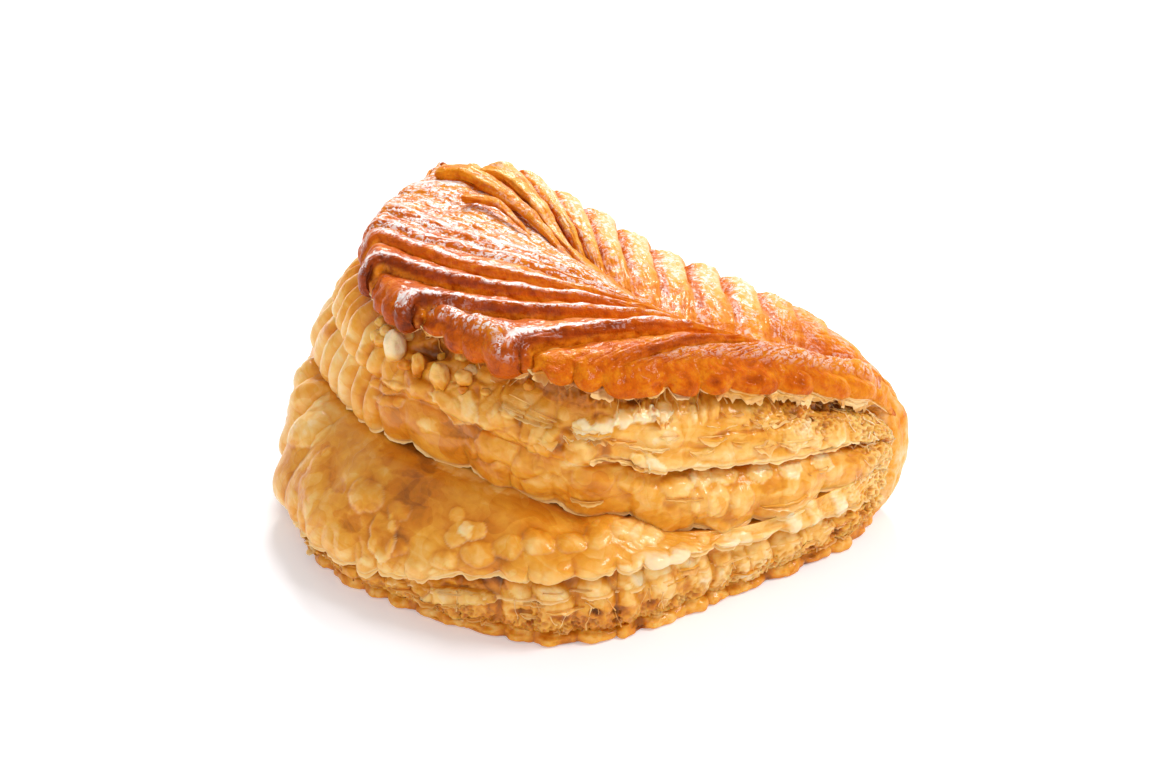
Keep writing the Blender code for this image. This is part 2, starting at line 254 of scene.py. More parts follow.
def pillows(points, size, seed):
    """Rounded lumps with sharp creases between: 0 in a crease to 1 on a lump."""
    near, second, value = cells(points, size, seed)
    return np.clip((second - near) * 1.7, 0.0, 1.0) ** 0.55, value


def lobes(turns):
    """Rounded lobes with sharp creases between: 1 on a crown, -1 in a crease at whole turns."""
    return 2.0 * np.abs(np.sin(np.pi * turns)) ** 0.75 - 1.0


def ruffle(s, pitch, seed, wander=0.8):
    """Lobes of uneven width and strength along the rim, -1 in a crease to 1 on a crown."""
    way = np.stack([s * 0.25, 0 * s, 0 * s], axis=-1)
    turns = s * 0.25 / pitch + wander * noise(way, 2.4 * pitch, seed)
    strength = 0.72 + 0.45 * noise(way, 1.7 * pitch, seed + 1)
    return lobes(turns) * np.clip(strength, 0.25, 1.1)


# ---------------------------------------------------------------- plan outline
class Outline:
    """Points of a plan curve at shares of its length, with the direction inwards."""

    def __init__(self, stations):
        count = 60 * (len(stations) - 1) + 1
        table = np.asarray(stations, float)
        share = np.linspace(0, 1, count)
        self.points = np.stack([along(table[:, 0], share), along(table[:, 1], share)], axis=-1)
        steps = np.linalg.norm(np.diff(self.points, axis=0), axis=1)
        self.length = float(steps.sum())
        self.at_share = np.concatenate([[0.0], np.cumsum(steps)]) / self.length

    def at(self, share):
        x = np.interp(share, self.at_share, self.points[:, 0])
        y = np.interp(share, self.at_share, self.points[:, 1])
        way = np.stack([-0.55 * x, 0.004 - y], axis=-1)
        return np.stack([x, y], axis=-1), way / np.linalg.norm(way, axis=-1)[..., None]


RIM, FOLD = Outline(RIM_PLAN), Outline(FOLD_PLAN)


def place(outline, share, inset, height):
    """Points of a side, inset from the outline at a height."""
    point, way = outline.at(share)
    inset = np.broadcast_to(inset, share.shape)
    xy = point + way * inset[..., None]
    return np.concatenate([xy, np.broadcast_to(height, share.shape)[..., None]], axis=-1)


def fold_inset(f, z):
    """How far in the fold's bulge is at a height, and its full height."""
    height, top = along(FOLD_HEIGHT, f), along(FOLD_TOP_INSET, f)
    rise = np.clip(z / height, 0.0, 1.0)
    sine = rise * (math.sin(FOLD_TOP_ANGLE) + 1) - 1
    rounding = FOLD_ROUNDING * (1 - np.sqrt(np.clip(1 - sine**2, 0, 1)) ** FOLD_ROUNDNESS)
    return rounding + top * rise, height


def spine(share):
    return np.stack(
        [along(SPINE_X, share), along(SPINE_Y, share), along(SPINE_HEIGHT, share) - 0.0013], axis=-1
    )


def cornered(s, inset, height, top, tuck=0.0012):
    """Point of the rim at share s; near the corners it sinks into the fold's bulge."""
    opened = ease(0.0, CORNER_BLEND, np.minimum(s, 1 - s))
    end = np.where(s < 0.5, 0.0, 1.0)
    _, corner_height = fold_inset(end, height)
    low = height * corner_height / top
    corner_in, _ = fold_inset(end, low)
    return place(
        RIM, s, mix(corner_in + tuck, inset, opened), mix(low, height, opened)
    )


# ---------------------------------------------------------------- sheets
def loft(rows, counts):
    """Smooth rows through control rows, with counts[i] steps between row i and row i + 1."""
    out = []
    last = len(rows) - 1
    for i, count in enumerate(counts):
        before, after = rows[max(i - 1, 0)], rows[min(i + 2, last)]
        for t in np.arange(count) / count:
            out.append(curve(before, rows[i], rows[i + 1], after, t))
    out.append(rows[-1])
    return np.array(out)


def arched(start, end, shares):
    """Rows between two rows, lifted towards the middle by the crown of the top."""
    rows = []
    for share in shares:
        row = mix(start, end, share)
        row[:, 2] += CROWN * math.sin(math.pi * (1 - share))
        rows.append(row)
    return rows


def fewer(counts, least):
    return [int(count * max(FINE, least)) for count in counts]


def spans(counts):
    """The control row number at each row that loft gives."""
    out = []
    for i, count in enumerate(counts):
        out += [i + k / count for k in range(count)]
    return np.array(out + [float(len(counts))])


def facing(points, flip=1.0):
    """Unit normals of a grid of points."""
    across, down = np.gradient(points, axis=1), np.gradient(points, axis=0)
    normal = np.cross(across, down) * flip
    return normal / np.maximum(np.linalg.norm(normal, axis=-1), 1e-12)[..., None]


def blurred(values, reach):
    """Average over a square of a grid, reach points to each side."""
    for axis in (0, 1):
        pad = [(reach + 1, reach) if k == axis else (0, 0) for k in range(values.ndim)]
        total = np.cumsum(np.pad(values, pad, mode="edge"), axis=axis)
        high = np.take(total, range(2 * reach + 1, total.shape[axis]), axis=axis)
        low = np.take(total, range(0, total.shape[axis] - 2 * reach - 1), axis=axis)
        values = (high - low) / (2 * reach + 1)
    return values


def hollows(points, normal):
    """How sunken each point is among its neighbours, about -1 on ridges to 1 in creases. The sheets
    darken their colour by it: painted shade in creases.
    """
    total = 0.0
    for reach, depth in ((2, 0.00010), (5, 0.00028), (12, 0.0008)):
        sunk = np.sum((blurred(points, reach) - points) * normal, axis=-1)
        total = total + np.clip(sunk / depth, -1.2, 1.2) / 3
    return total


def distances(points):
    """Distance along the columns and along the rows of a grid, for patterns that follow it."""
    step = np.linalg.norm(np.diff(points, axis=0), axis=-1)
    down = np.vstack([np.zeros(points.shape[1]), np.cumsum(step, axis=0)])
    step = np.linalg.norm(np.diff(points, axis=1), axis=-1)
    across = np.hstack([np.zeros((points.shape[0], 1)), np.cumsum(step, axis=1)])
    return across, down


def flat(u, v):
    """Two grids as points of a plane, for a pattern that follows a sheet."""
    return np.stack([u, v, np.zeros_like(u)], axis=-1)


def make_mesh(name, points, faces, material, values, vectors=None):
    """A smooth mesh object from points and quads, with one value per point for each attribute."""
    mesh = bpy.data.meshes.new(name)
    faces = np.asarray(faces, np.int32)
    mesh.vertices.add(len(points))
    mesh.vertices.foreach_set("co", np.asarray(points, np.float32).ravel())
    mesh.loops.add(faces.size)
    mesh.loops.foreach_set("vertex_index", faces.ravel())
    mesh.polygons.add(len(faces))
    mesh.polygons.foreach_set("loop_start", np.arange(0, faces.size, faces.shape[1], dtype=np.int32))
    mesh.polygons.foreach_set("use_smooth", np.ones(len(faces), bool))
    mesh.update(calc_edges=True)
    for key, value in values.items():
        layer = mesh.attributes.new(key, "FLOAT", "POINT")
        layer.data.foreach_set("value", np.asarray(value, np.float32).ravel())
    for key, value in (vectors or {}).items():
        layer = mesh.attributes.new(key, "FLOAT_VECTOR", "POINT")
        layer.data.foreach_set("vector", np.asarray(value, np.float32).ravel())
    mesh.materials.append(material)
    mesh.validate()
    piece = bpy.data.objects.new(name, mesh)
    bpy.context.scene.collection.objects.link(piece)
    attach(piece, "root")
    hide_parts("pastry")
    return piece


def grid_faces(rows, columns, flip=False):
    index = np.arange(rows * columns).reshape(rows, columns)
    a, b = index[:-1, :-1], index[:-1, 1:]
    c, d = index[1:, 1:], index[1:, :-1]
    order = (a, d, c, b) if flip else (a, b, c, d)
    return np.stack([part.ravel() for part in order], axis=-1)


def settle(points):
    """Move points to the frame, whose origin is the middle of the part."""
    out = points.copy()
    out[..., 0] -= PLAN_CENTRE[0]
    out[..., 1] -= PLAN_CENTRE[1]
    out[..., 2] = np.maximum(out[..., 2], 0.0)
    return out


def make_sheet(name, points, material, values, flip=False, across=None, down=None):
    rows, columns = points.shape[:2]
    if across is None:
        across, down = distances(points)
    flow = flat(across, down)
    return make_mesh(
        name, settle(points).reshape(-1, 3), grid_faces(rows, columns, flip), material, values,
        {"flow": flow.reshape(-1, 3)},
    )


# ---------------------------------------------------------------- materials
class Maker:
    """Builds a material's nodes: each method gives the output of what it adds."""

    def __init__(self, name):
        self.material = bpy.data.materials.new(name)
        self.material.use_nodes = True
        self.tree = self.material.node_tree
        self.shader = self.tree.nodes["Principled BSDF"]

    def link(self, a, b):
        self.tree.links.new(a, b)

    def value(self, name, output="Fac"):
        """What a sheet stores under a name."""
        node = self.tree.nodes.new("ShaderNodeAttribute")
        node.attribute_name = name
        return node.outputs[output]

    def place(self):
        return self.tree.nodes.new("ShaderNodeTexCoord").outputs["Object"]

    def scaled(self, vector, scale):
        node = self.tree.nodes.new("ShaderNodeMapping")
        node.inputs["Scale"].default_value = scale
        self.link(vector, node.inputs["Vector"])
        return node.outputs["Vector"]

    def noise(self, vector, scale, detail=3.0, rough=0.5, distortion=0.0):
        node = self.tree.nodes.new("ShaderNodeTexNoise")
        node.inputs["Scale"].default_value = scale
        node.inputs["Detail"].default_value = detail
        node.inputs["Roughness"].default_value = rough
        node.inputs["Distortion"].default_value = distortion
        self.link(vector, node.inputs["Vector"])
        return node.outputs["Fac"]

    def math(self, operation, a, b):
        node = self.tree.nodes.new("ShaderNodeMath")
        node.operation = operation
        for socket, item in zip(node.inputs, (a, b)):
            if isinstance(item, (int, float)):
                socket.default_value = item
            else:
                self.link(item, socket)
        return node.outputs[0]

    def step(self, value, low, high):
        """0 below low, 1 above high, smooth between."""
        node = self.tree.nodes.new("ShaderNodeMapRange")
        node.interpolation_type = "SMOOTHSTEP"
        node.inputs["From Min"].default_value = low
        node.inputs["From Max"].default_value = high
        self.link(value, node.inputs["Value"])
        return node.outputs["Result"]

    def ramp(self, value, stops):
        node = self.tree.nodes.new("ShaderNodeValToRGB")
        ramp = node.color_ramp
        while len(ramp.elements) < len(stops):
            ramp.elements.new(0.5)
        for element, (spot, colour) in zip(ramp.elements, stops):
            element.position = spot
            element.color = (*colour, 1.0)
        self.link(value, node.inputs["Fac"])
        return node.outputs["Color"]

    def blend(self, share, a, b):
        node = self.tree.nodes.new("ShaderNodeMix")
        node.data_type = "RGBA"
        for socket, item in ((node.inputs[0], share), (node.inputs[6], a), (node.inputs[7], b)):
            if isinstance(item, tuple):
                socket.default_value = (*item, 1.0)
            elif isinstance(item, (int, float)):
                socket.default_value = item
            else:
                self.link(item, socket)
        return node.outputs[2]

    def varied(self, value, *parts):
        """A value moved up and down by patterns around 0.5, each with its strength."""
        for pattern, strength in parts:
            swing = self.math("MULTIPLY", self.math("SUBTRACT", pattern, 0.5), strength)
            value = self.math("ADD", value, swing)
        return value

    def total(self, *parts):
        """The sum of patterns, each with its weight."""
        (pattern, weight), *others = parts
        value = self.math("MULTIPLY", pattern, weight)
        for pattern, weight in others:
            value = self.math("ADD", value, self.math("MULTIPLY", pattern, weight))
        return value

    def finish(self, colour, height, distance, strength, settings):
        """Joins colour and bump to the shader, and sets what is the same all over."""
        bump = self.tree.nodes.new("ShaderNodeBump")
        bump.inputs["Strength"].default_value = strength
        bump.inputs["Distance"].default_value = distance
        self.link(height, bump.inputs["Height"])
        self.link(bump.outputs["Normal"], self.shader.inputs["Normal"])
        self.link(colour, self.shader.inputs["Base Color"])
        for name, value in settings.items():
            self.shader.inputs[name].default_value = value
        return self.material


def glazed_crust(name, coat):
    """Egg-washed top: browned by 'bake', which also carries painted shade, with fresh orange pastry
    where 'wall' is 1, and whitened by painted glare in specks and along the crests, with some pale
    crackle of the glaze.
    """
    m = Maker(name)
    here, flow = m.place(), m.value("flow", "Vector")
    strands = m.noise(m.scaled(flow, (900.0, 200.0, 1.0)), 1.0, 4.0, 0.65, 0.4)
    mottle = m.noise(here, 240.0, 4.0, 0.62)
    spots = m.noise(here, 700.0, 3.0, 0.6, 0.5)
    bake_and_shade = m.varied(m.value("bake_and_shade"), (mottle, 0.50), (strands, 0.14), (spots, 0.36))
    colour = m.ramp(
        bake_and_shade,
        (
            (0.00, (0.90, 0.58, 0.28)),
            (0.20, (0.87, 0.42, 0.070)),
            (0.38, (0.80, 0.26, 0.009)),
            (0.58, (0.62, 0.115, 0.003)),
            (0.80, (0.34, 0.046, 0.002)),
            (1.00, (0.12, 0.016, 0.002)),
        ),
    )
    wall = m.math("MULTIPLY", m.value("wall"), m.step(m.noise(here, 420.0, 3.0), 0.30, 0.62))
    colour = m.blend(wall, colour, (0.76, 0.23, 0.010))
    speck = m.noise(here, 1200.0, 2.0, 0.6, 0.8)
    # Painted glare: white specks, and solid white along the crests, put into the colour as glints of
    # the glaze.
    glare_patches = m.noise(m.scaled(flow, (620.0, 290.0, 1.0)), 1.0, 3.0, 0.65, 0.6)
    glint_specks = m.math("MULTIPLY", m.step(glare_patches, 0.43, 0.53), m.step(speck, 0.44, 0.54))
    solid = m.math("MULTIPLY", m.step(m.value("frost_and_glare"), 1.0, 2.0), m.step(glare_patches, 0.36, 0.48))
    frost_and_glare = m.math("MULTIPLY", m.math("MINIMUM", m.value("frost_and_glare"), 1.0), glint_specks)
    colour = m.blend(m.math("MAXIMUM", frost_and_glare, solid), colour, (0.95, 0.86, 0.83))
    height = m.total((strands, 0.28), (speck, 0.30), (spots, 0.55))
    settings = {
        "Roughness": 0.34,
        "Specular IOR Level": 0.06,
        "Specular Tint": (1.0, 0.45, 0.15, 1.0),
        "Coat Weight": coat,
        "Coat Roughness": 0.09,
        "Subsurface Weight": 0.10,
        "Subsurface Radius": (0.0016, 0.0006, 0.0002),
        "Subsurface Scale": 1.0,
    }
    return m.finish(colour, height, 0.00075, 1.0, settings)


def pale_layers(name, soft):
    """Opened leaves: 'tone' goes from cream to amber and also carries painted shade, 'peel' is cut into
    steps, and the holes of the crumb are darkened with painted shade.
    """
    m = Maker(name)
    here, flow = m.place(), m.value("flow", "Vector")
    clouds = m.noise(here, 95.0, 2.0, 0.5, 0.9)
    mottle = m.noise(here, 230.0, 4.0, 0.6, 0.6)
    spots = m.noise(here, 620.0, 3.0, 0.6, 0.3)
    grain = m.noise(here, 1500.0, 3.0, 0.65)
    steps = (
        (0.00, 0.15), (0.30, 0.15), (0.308, 0.70), (0.43, 0.70), (0.438, 0.36), (0.55, 0.36),
        (0.558, 0.90), (0.69, 0.90), (0.698, 0.42), (0.80, 0.42), (0.808, 0.75),
    )
    patch = m.ramp(m.value("peel"), [(spot, (v, v, v)) for spot, v in steps])
    leaf = m.noise(m.scaled(flow, (110.0, 190.0, 1.0)), 1.0, 2.0, 0.5)
    small_patch = m.ramp(
        leaf,
        [(0.0, (0.5,) * 3), (0.40, (0.5,) * 3), (0.405, (0.1,) * 3), (0.49, (0.2,) * 3),
         (0.495, (0.8,) * 3), (0.58, (0.9,) * 3), (0.585, (0.4,) * 3)],
    )
    tone = m.varied(
        m.value("tone"),
        (clouds, 0.42), (patch, 0.16), (small_patch, 0.08), (mottle, 0.27), (spots, 0.12),
    )
    colour = m.ramp(
        tone,
        (
            (0.00, (0.95, 0.74, 0.44)),
            (0.20, (0.91, 0.55, 0.16)),
            (0.40, (0.82, 0.36, 0.032)),
            (0.60, (0.67, 0.215, 0.008)),
            (0.80, (0.42, 0.120, 0.005)),
            (1.00, (0.17, 0.046, 0.005)),
        ),
    )
    # Painted shade in the holes of the crumb.
    colour = m.blend(m.value("pit_shade"), colour, (0.58, 0.19, 0.018))
    colour = m.blend(m.value("edge"), colour, (0.96, 0.70, 0.34))
    height = m.total((grain, 0.16), (patch, 0.20), (small_patch, 0.10), (spots, 0.35))
    settings = {
        "Roughness": 0.38,
        "Specular IOR Level": 0.30,
        "Specular Tint": (1.0, 0.72, 0.42, 1.0),
        "Coat Weight": 0.38,
        "Coat Roughness": 0.12,
        "Subsurface Weight": soft,
        "Subsurface Radius": (0.0026, 0.0011, 0.0004),
        "Subsurface Scale": 1.0,
    }
    return m.finish(colour, height, 0.00055, 0.8, settings)


CRUST, SHINY = glazed_crust("glazed_crust", 0.10), glazed_crust("shiny_crust", 0.20)
LAYERS = pale_layers("pale_layers", 0.40)
LEAVES = pale_layers("thin_leaves", 0.0)


# ---------------------------------------------------------------- crust on the rim side
def crust_columns():
    """Shares of the rim, closer together on the flank at the near edge of each strip."""
    shares = []
    for low, high in zip(RIM_GROOVES, RIM_GROOVES[1:]):
        count = max(int((high - low) * RIM.length / 0.00040 * FINE), 8)
        t = np.linspace(0, 1, count, endpoint=False)
        shares.append(low + (high - low) * (0.5 * t + 0.5 * t**1.6))
    return np.concatenate(shares + [[1.0]])


def strip_of(s):
    """The strip's number at a share of the rim, and how far across it, from its near edge."""
    edges = np.asarray(RIM_GROOVES)
    k = np.clip(np.searchsorted(edges, s, side="right") - 1, 0, len(edges) - 2)
    return k, (s - edges[k]) / (edges[k + 1] - edges[k])


def ridge(t, flank):
    """Height across a strip: a rounded steep flank, a crest, then a gentle slope to the next."""
    rising = np.clip(t / flank, 0.0, 1.0)
    falling = np.clip((t - flank) / (1 - flank), 0.0, 1.0)
    return np.sqrt(np.clip(1 - (1 - rising) ** 2, 0, 1)) * (1 - 0.75 * falling**1.3)


def build_crust():
    s = crust_columns()
    crust, crust_in = along(CRUST_EDGE_HEIGHT, s), along(CRUST_INSET, s)
    top = crust + CRUST_LIP
    near_side = 1 - ease(0.385, 0.405, s)
    lobe = mix(ruffle(s, 0.0074, 3, 0.5), ruffle(s, 0.0098, 4), near_side)
    swell = mix(0.0010, 0.0015, near_side) * lobe
    rise = 0.0012 * near_side + 0.0026 * band((0.28, 0.40), (0.56, 0.68), s)
    end = spine(along(SPINE_SHARE, s))
    rim0 = cornered(s, crust_in + 0.0035, top, top, 0.0)
    controls = [
        end,
        *arched(end, rim0, (0.12, 0.30, 0.50, 0.70, 0.86)),
        rim0,
        cornered(s, crust_in + 0.0011 - 0.6 * swell, crust + 0.74 * CRUST_LIP + 0.3 * rise, top, 0.0),
        cornered(s, crust_in - swell, crust + 0.36 * CRUST_LIP + 0.8 * rise, top, 0.0),
        cornered(s, crust_in + 0.0009 - swell, crust + 0.0004 - 0.0007 * lobe + rise, top, 0.0),
        cornered(s, crust_in + 0.0045, crust + 0.0018 + rise, top, 0.0),
        cornered(s, crust_in + 0.0110, crust + 0.0026 + rise, top, 0.0),
    ]
    steps = (14, 20, 24, 28, 24, 14, 9, 9, 9, 8, 5)
    counts = [max(int(n * FINE), 3) for n in steps]
    points = loft(controls, counts)
    spot = spans(counts)[:, None] * np.ones_like(s)
    normal = facing(points)

    # The scored strips lie like shingles: each has a steep flank at its near edge.
    sweep = 0.075 * band((0.40, 0.52), (0.78, 0.97), s)
    k, t = strip_of(np.clip(s + sweep * np.sin(np.pi * np.clip(spot / 6, 0, 1)), 0, 1))
    edges = np.asarray(RIM_GROOVES)
    width = (edges[k + 1] - edges[k]) * RIM.length
    flank = np.clip(0.0052 / width, 0.05, 0.38)
    step = np.asarray(RIM_STEPS)[k]
    fade = ease(0.0, 2.4, spot) * (1 - 0.35 * ease(7.0, 9.0, spot)) * (1 - ease(0.965, 0.99, s))
    at_rim = ease(4.6, 6.6, spot) * (k == 1)
    shape = mix(np.where(k == 0, 0.45, ridge(t, flank)), 0.47, at_rim * (1 - ease(0.5, 1.0, t)))
    points = points + normal * (step * (shape - 0.50) * fade)[..., None]
    tear = (1 - ease(0.10 * flank, 0.28 * flank, t)) * ease(0.2, 1.5, spot)
    tear = tear * (k > 0) * (1 - at_rim)
    brow = band((0.42, 0.44), (0.515, 0.535), s) * bell(spot, 6.0, 0.42)
    points = points + facing(points) * (0.0013 * brow)[..., None]

    # Uneven baking: broad swells, small lumps and wrinkles along the strips.
    normal = facing(points)
    across, down = distances(points)
    across = across[int(0.55 * len(across))] * np.ones_like(across)
    flow = flat(across, down * 0.16)
    bump = 0.00080 * rough(points, 0.012, 2, 11) + 0.00040 * rough(points, 0.0036, 2, 12)
    strands = 1 - np.abs(rough(flow, 0.0023, 3, 13)) * 2.2
    bump += 0.00036 * strands * band((0.5, 2.0), (5.6, 7.4), spot)
    wrinkles = flat(across * 0.5, down)
    bump += 0.00014 * rough(wrinkles, 0.0018, 2, 14) * ease(1.0, 3.0, spot)
    bump *= (1 - 0.6 * ease(9.2, 10.0, spot)) * (1 - ease(0.97, 0.99, s))
    rise, shade, _ = sculpted(points, CRUST_ROWS, 130)
    points = points + normal * (bump + rise)[..., None]

    # Browning: darkest on the crowns and towards the front rim, pale under the lip. Painted shade
    # darkens the steep flank of each strip, the dents and the hollows.
    front = band((0.40, 0.50), (0.70, 0.90), s)
    bake_and_shade = 0.40 + 0.08 * ease(1.5, 6.0, spot) + 0.12 * front * ease(3.0, 6.0, spot)
    bake_and_shade -= 0.03 * ease(0.62, 0.74, s)
    shaded = np.where(k == 2, 0.30, np.where(k < 5, 0.24, 0.08)) * (1 - at_rim)
    bake_and_shade += shaded * bell(t, 0.5 * flank, 0.5 * flank) * ease(1.0, 4.0, spot)
    bake_and_shade += 0.16 * lobe * band((6.4, 7.8), (8.6, 9.3), spot)
    bake_and_shade -= 0.16 * (1 - ease(0.02, 0.16, s)) + 0.10 * ease(0.80, 1.0, s)
    sunk = hollows(points, facing(points))
    bake_and_shade += 0.07 * sunk * (1 - tear) + 0.07 - 0.45 * ease(8.9, 9.6, spot) + shade
    # White specks over parts of the strips, and lines along the crests and the brow, are painted glare
    # and painted highlight, with some pale crackle of the glaze; less of it in hollows.
    glare_streaks = 0.5 * (1 - ease(0.25, 0.40, s)) * (1 - ease(4.0, 6.0, spot))
    crest = bell(t, 1.15 * flank, 0.45 * flank) * (k > 1) * ease(1.5, 3.0, spot)
    frost_and_glare = np.maximum((ease(0.69, 0.73, s) + glare_streaks) * ease(0.4, 1.5, spot), 1.75 * crest)
    frost_and_glare = np.maximum(frost_and_glare * np.maximum(ease(0.5 * flank, 1.0 * flank, t), 1.0 * (k > 5)), 1.2 * brow)
    frost_and_glare = frost_and_glare * (1 - ease(6.6, 8.0, spot))
    frost_and_glare = frost_and_glare * (1 - 0.5 * ease(0.2, 0.8, sunk))
    cut = int(np.searchsorted(s, RIM_GROOVES[2]))
    for name, part in (("crust_front", slice(0, cut + 1)), ("crust_left", slice(cut, None))):
        make_sheet(
            name, points[:, part], CRUST if name == "crust_front" else SHINY,
            {"bake_and_shade": bake_and_shade[:, part], "wall": tear[:, part], "frost_and_glare": frost_and_glare[:, part]},
            across=across[:, part], down=down[:, part],
        )
    return points, spot, s


def build_spine_edge(crust):
    """The cut edge of the crust, which drops behind the spine to the fold."""
    edge = crust[0][0]
    back = np.array([0.0, -0.0003, 0.0])
    drop = (0.0, 0.0012, 0.0026, 0.0042, 0.0060)
    points = np.array([edge + back * k - np.array([0.0, 0.0, d]) for k, d in enumerate(drop)])
    bake_and_shade = 0.34 + 0.30 * rough(points, 0.003, 3, 19)
    make_sheet(
        "spine_edge", points, CRUST, {"bake_and_shade": bake_and_shade, "wall": 0 * bake_and_shade, "frost_and_glare": 0 * bake_and_shade}, flip=True
    )


# ---------------------------------------------------------------- fold and far strips
def build_fold():
    count = int(330 * max(FINE, 0.4))
    f = np.linspace(-0.062, 1.045, count)
    inside = np.clip(f, 0.0, 1.0)
    past = np.where(f < 0, -f, np.where(f > 1, f - 1, 0.0)) * FOLD.length / RIM.length
    tuck = 0.0035 * (ease(0.048, 0.062, -f) + ease(0.034, 0.045, f - 1))
    on_rim = np.where(f < 0, past, 1 - past)
    edge = np.where((f < 0) | (f > 1), 1.0, 0.0)[:, None]
    height = along(FOLD_HEIGHT, inside)

    def ring(share):
        z = height * share
        inset, _ = fold_inset(inside, z)
        wave = 0.0035 * noise(np.stack([z, 0 * z, 0 * z], -1), 0.006, 71) * edge[:, 0]
        fold = place(FOLD, inside, inset, z)
        rim = place(RIM, on_rim + wave * (on_rim < 0.5), inset - 0.0006 + tuck, z)
        return mix(fold, rim, edge)

    top = ring(np.ones(count))
    end = spine(along(FOLD_SHARE, inside)) + np.array([0.0, -0.0014, -0.0022])
    heights = (1.0, 0.93, 0.80, 0.62, 0.44, 0.26, 0.12, 0.03, 0.0)
    controls = [
        end,
        *arched(end, top, (0.25, 0.50, 0.75, 0.92)),
        *(ring(np.full(count, share)) for share in heights),
    ]
    counts = fewer((20, 22, 22, 14, 6, 10, 14, 20, 20, 20, 16, 12, 6), 0.4)
    points = loft(controls, counts)
    spot = spans(counts)[:, None] * np.ones(count)
    normal = facing(points, -1.0)

    # Far strips: pillows with a steep right side; finer strands towards the right corner.
    edges = np.asarray(FOLD_GROOVES)
    k = np.clip(np.searchsorted(edges, inside, side="right") - 1, 0, len(edges) - 2)
    t = (inside - edges[k]) / (edges[k + 1] - edges[k])
    loaf = ease(0.0, 0.20, t) * np.sqrt(np.clip(1 - np.clip((t - 0.35) / 0.66, 0, 1) ** 2.0, 0, 1))
    body = ease(0.20, 0.33, inside)
    low = mix(1.2, 0.0, ease(0.50, 0.75, inside))
    depth = FOLD_DEPTH * mix(0.22, 1.0, body)
    depth = depth * ease(low, 1.6 + 1.6 * low, spot) * (1 - ease(7.0, 10.5, spot))
    whole = band((0.0, 0.01), (0.985, 1.0), inside)
    points = points + normal * (depth * (loaf - 1.0) * whole)[..., None]
    wall_mask = (1 - ease(0.05, 0.30, t)) + ease(0.86, 1.0, t)
    wall_mask = wall_mask * band((0.2, 1.4), (5.5, 9.0), spot) * mix(0.4, 1.0, body)

    normal = facing(points, -1.0)
    across, down = distances(points)
    across = across[len(across) // 3] * np.ones_like(across)
    lay = np.maximum(body, ease(3.5, 5.5, spot))
    across, down = mix(down, across, lay), mix(across, down, lay)
    flow = flat(across, down * 0.2)
    bump = 0.00060 * rough(points, 0.011, 2, 21) + 0.00028 * rough(points, 0.0032, 2, 22)
    strands = 1 - np.abs(rough(flow, 0.0022, 2, 23)) * 2.2
    bump = (bump + 0.00030 * strands) * (1 - ease(0.985, 1.0, inside))
    bump = bump + 0.00045 * edge[:, 0] * rough(flow * 1.2, 0.0020, 3, 24) * ease(4.0, 6.0, spot)
    points = points + normal * bump[..., None]

    strand_end = ease(0.74, 0.84, inside) + (1 - body)
    bake_and_shade = 0.24 + 0.24 * (1 - ease(0.8, 2.6, spot)) + 0.10 * ease(6.0, 9.0, spot)
    bake_and_shade = bake_and_shade - 0.14 * edge[:, 0] * (1 - ease(9.5, 12.0, spot)) + 0.05 * (strands - 0.6)
    bake_and_shade = bake_and_shade + 0.08 * strand_end + 0.10 * (1 - body) - 0.04 * loaf
    bake_and_shade = bake_and_shade + 0.32 * ease(0.58, 0.90, t) * body * ease(0.6, 1.6, spot)
    pale_end = edge[:, 0] * (inside < 0.5)
    bake_and_shade = bake_and_shade - 0.22 * pale_end * band((6.5, 9.5), (10.8, 12.2), spot)
    bake_and_shade = bake_and_shade + 0.30 * edge[:, 0] * rough(points, 0.0030, 3, 25)
    # Painted shade in the hollows; the white specks on the loaves are painted glare, less of it in
    # hollows.
    sunk = hollows(points, facing(points, -1.0))
    bake_and_shade = bake_and_shade + 0.12 * sunk
    frost_and_glare = ease(0.2, 0.4, t) * (1 - ease(6.0, 8.0, spot)) * (1 - 0.45 * np.clip(strand_end, 0, 1))
    frost_and_glare = frost_and_glare * (1 - ease(0.1, 0.6, sunk)) * mix(0.45, 0.75, ease(0.8, 2.4, spot))
    values = {"bake_and_shade": bake_and_shade, "wall": wall_mask, "frost_and_glare": frost_and_glare}
    make_sheet("fold", points, CRUST, values, flip=True, across=across, down=down)


# ---------------------------------------------------------------- opened layers of the rim
def blisters(points, spots, radii, rises):
    """Rounded bumps at spots: returns the rise at each point and a mask of the bumps."""
    rise, mask = np.zeros(points.shape[:-1]), np.zeros(points.shape[:-1])
    for spot, radius, height in zip(spots, radii, rises):
        d = np.linalg.norm(points - spot, axis=-1) / radius
        dome = np.sqrt(np.clip(1 - d**2, 0, 1))
        rise = np.maximum(rise, height * dome)
        mask = np.maximum(mask, ease(0.0, 0.4, dome))
    return rise, mask


def marks_of(rows, seed):
    """Single marks from the rows: evenly spaced, each a little different from the next."""
    rng = np.random.default_rng(seed)
    for count, left, right, first, last, wide, high, turn, height, shade, crisp in rows:
        for step in range(count):
            share = step / max(count - 1, 1)
            size, tall, strength = rng.uniform(0.85, 1.15, 3)
            yield (
                mix(left, right, share) + rng.uniform(-0.004, 0.004),
                mix(first, last, share) + rng.uniform(-0.015, 0.015),
                wide * size, high * size * tall, turn + rng.uniform(-10, 10),
                height * strength, shade * strength, crisp,
            )


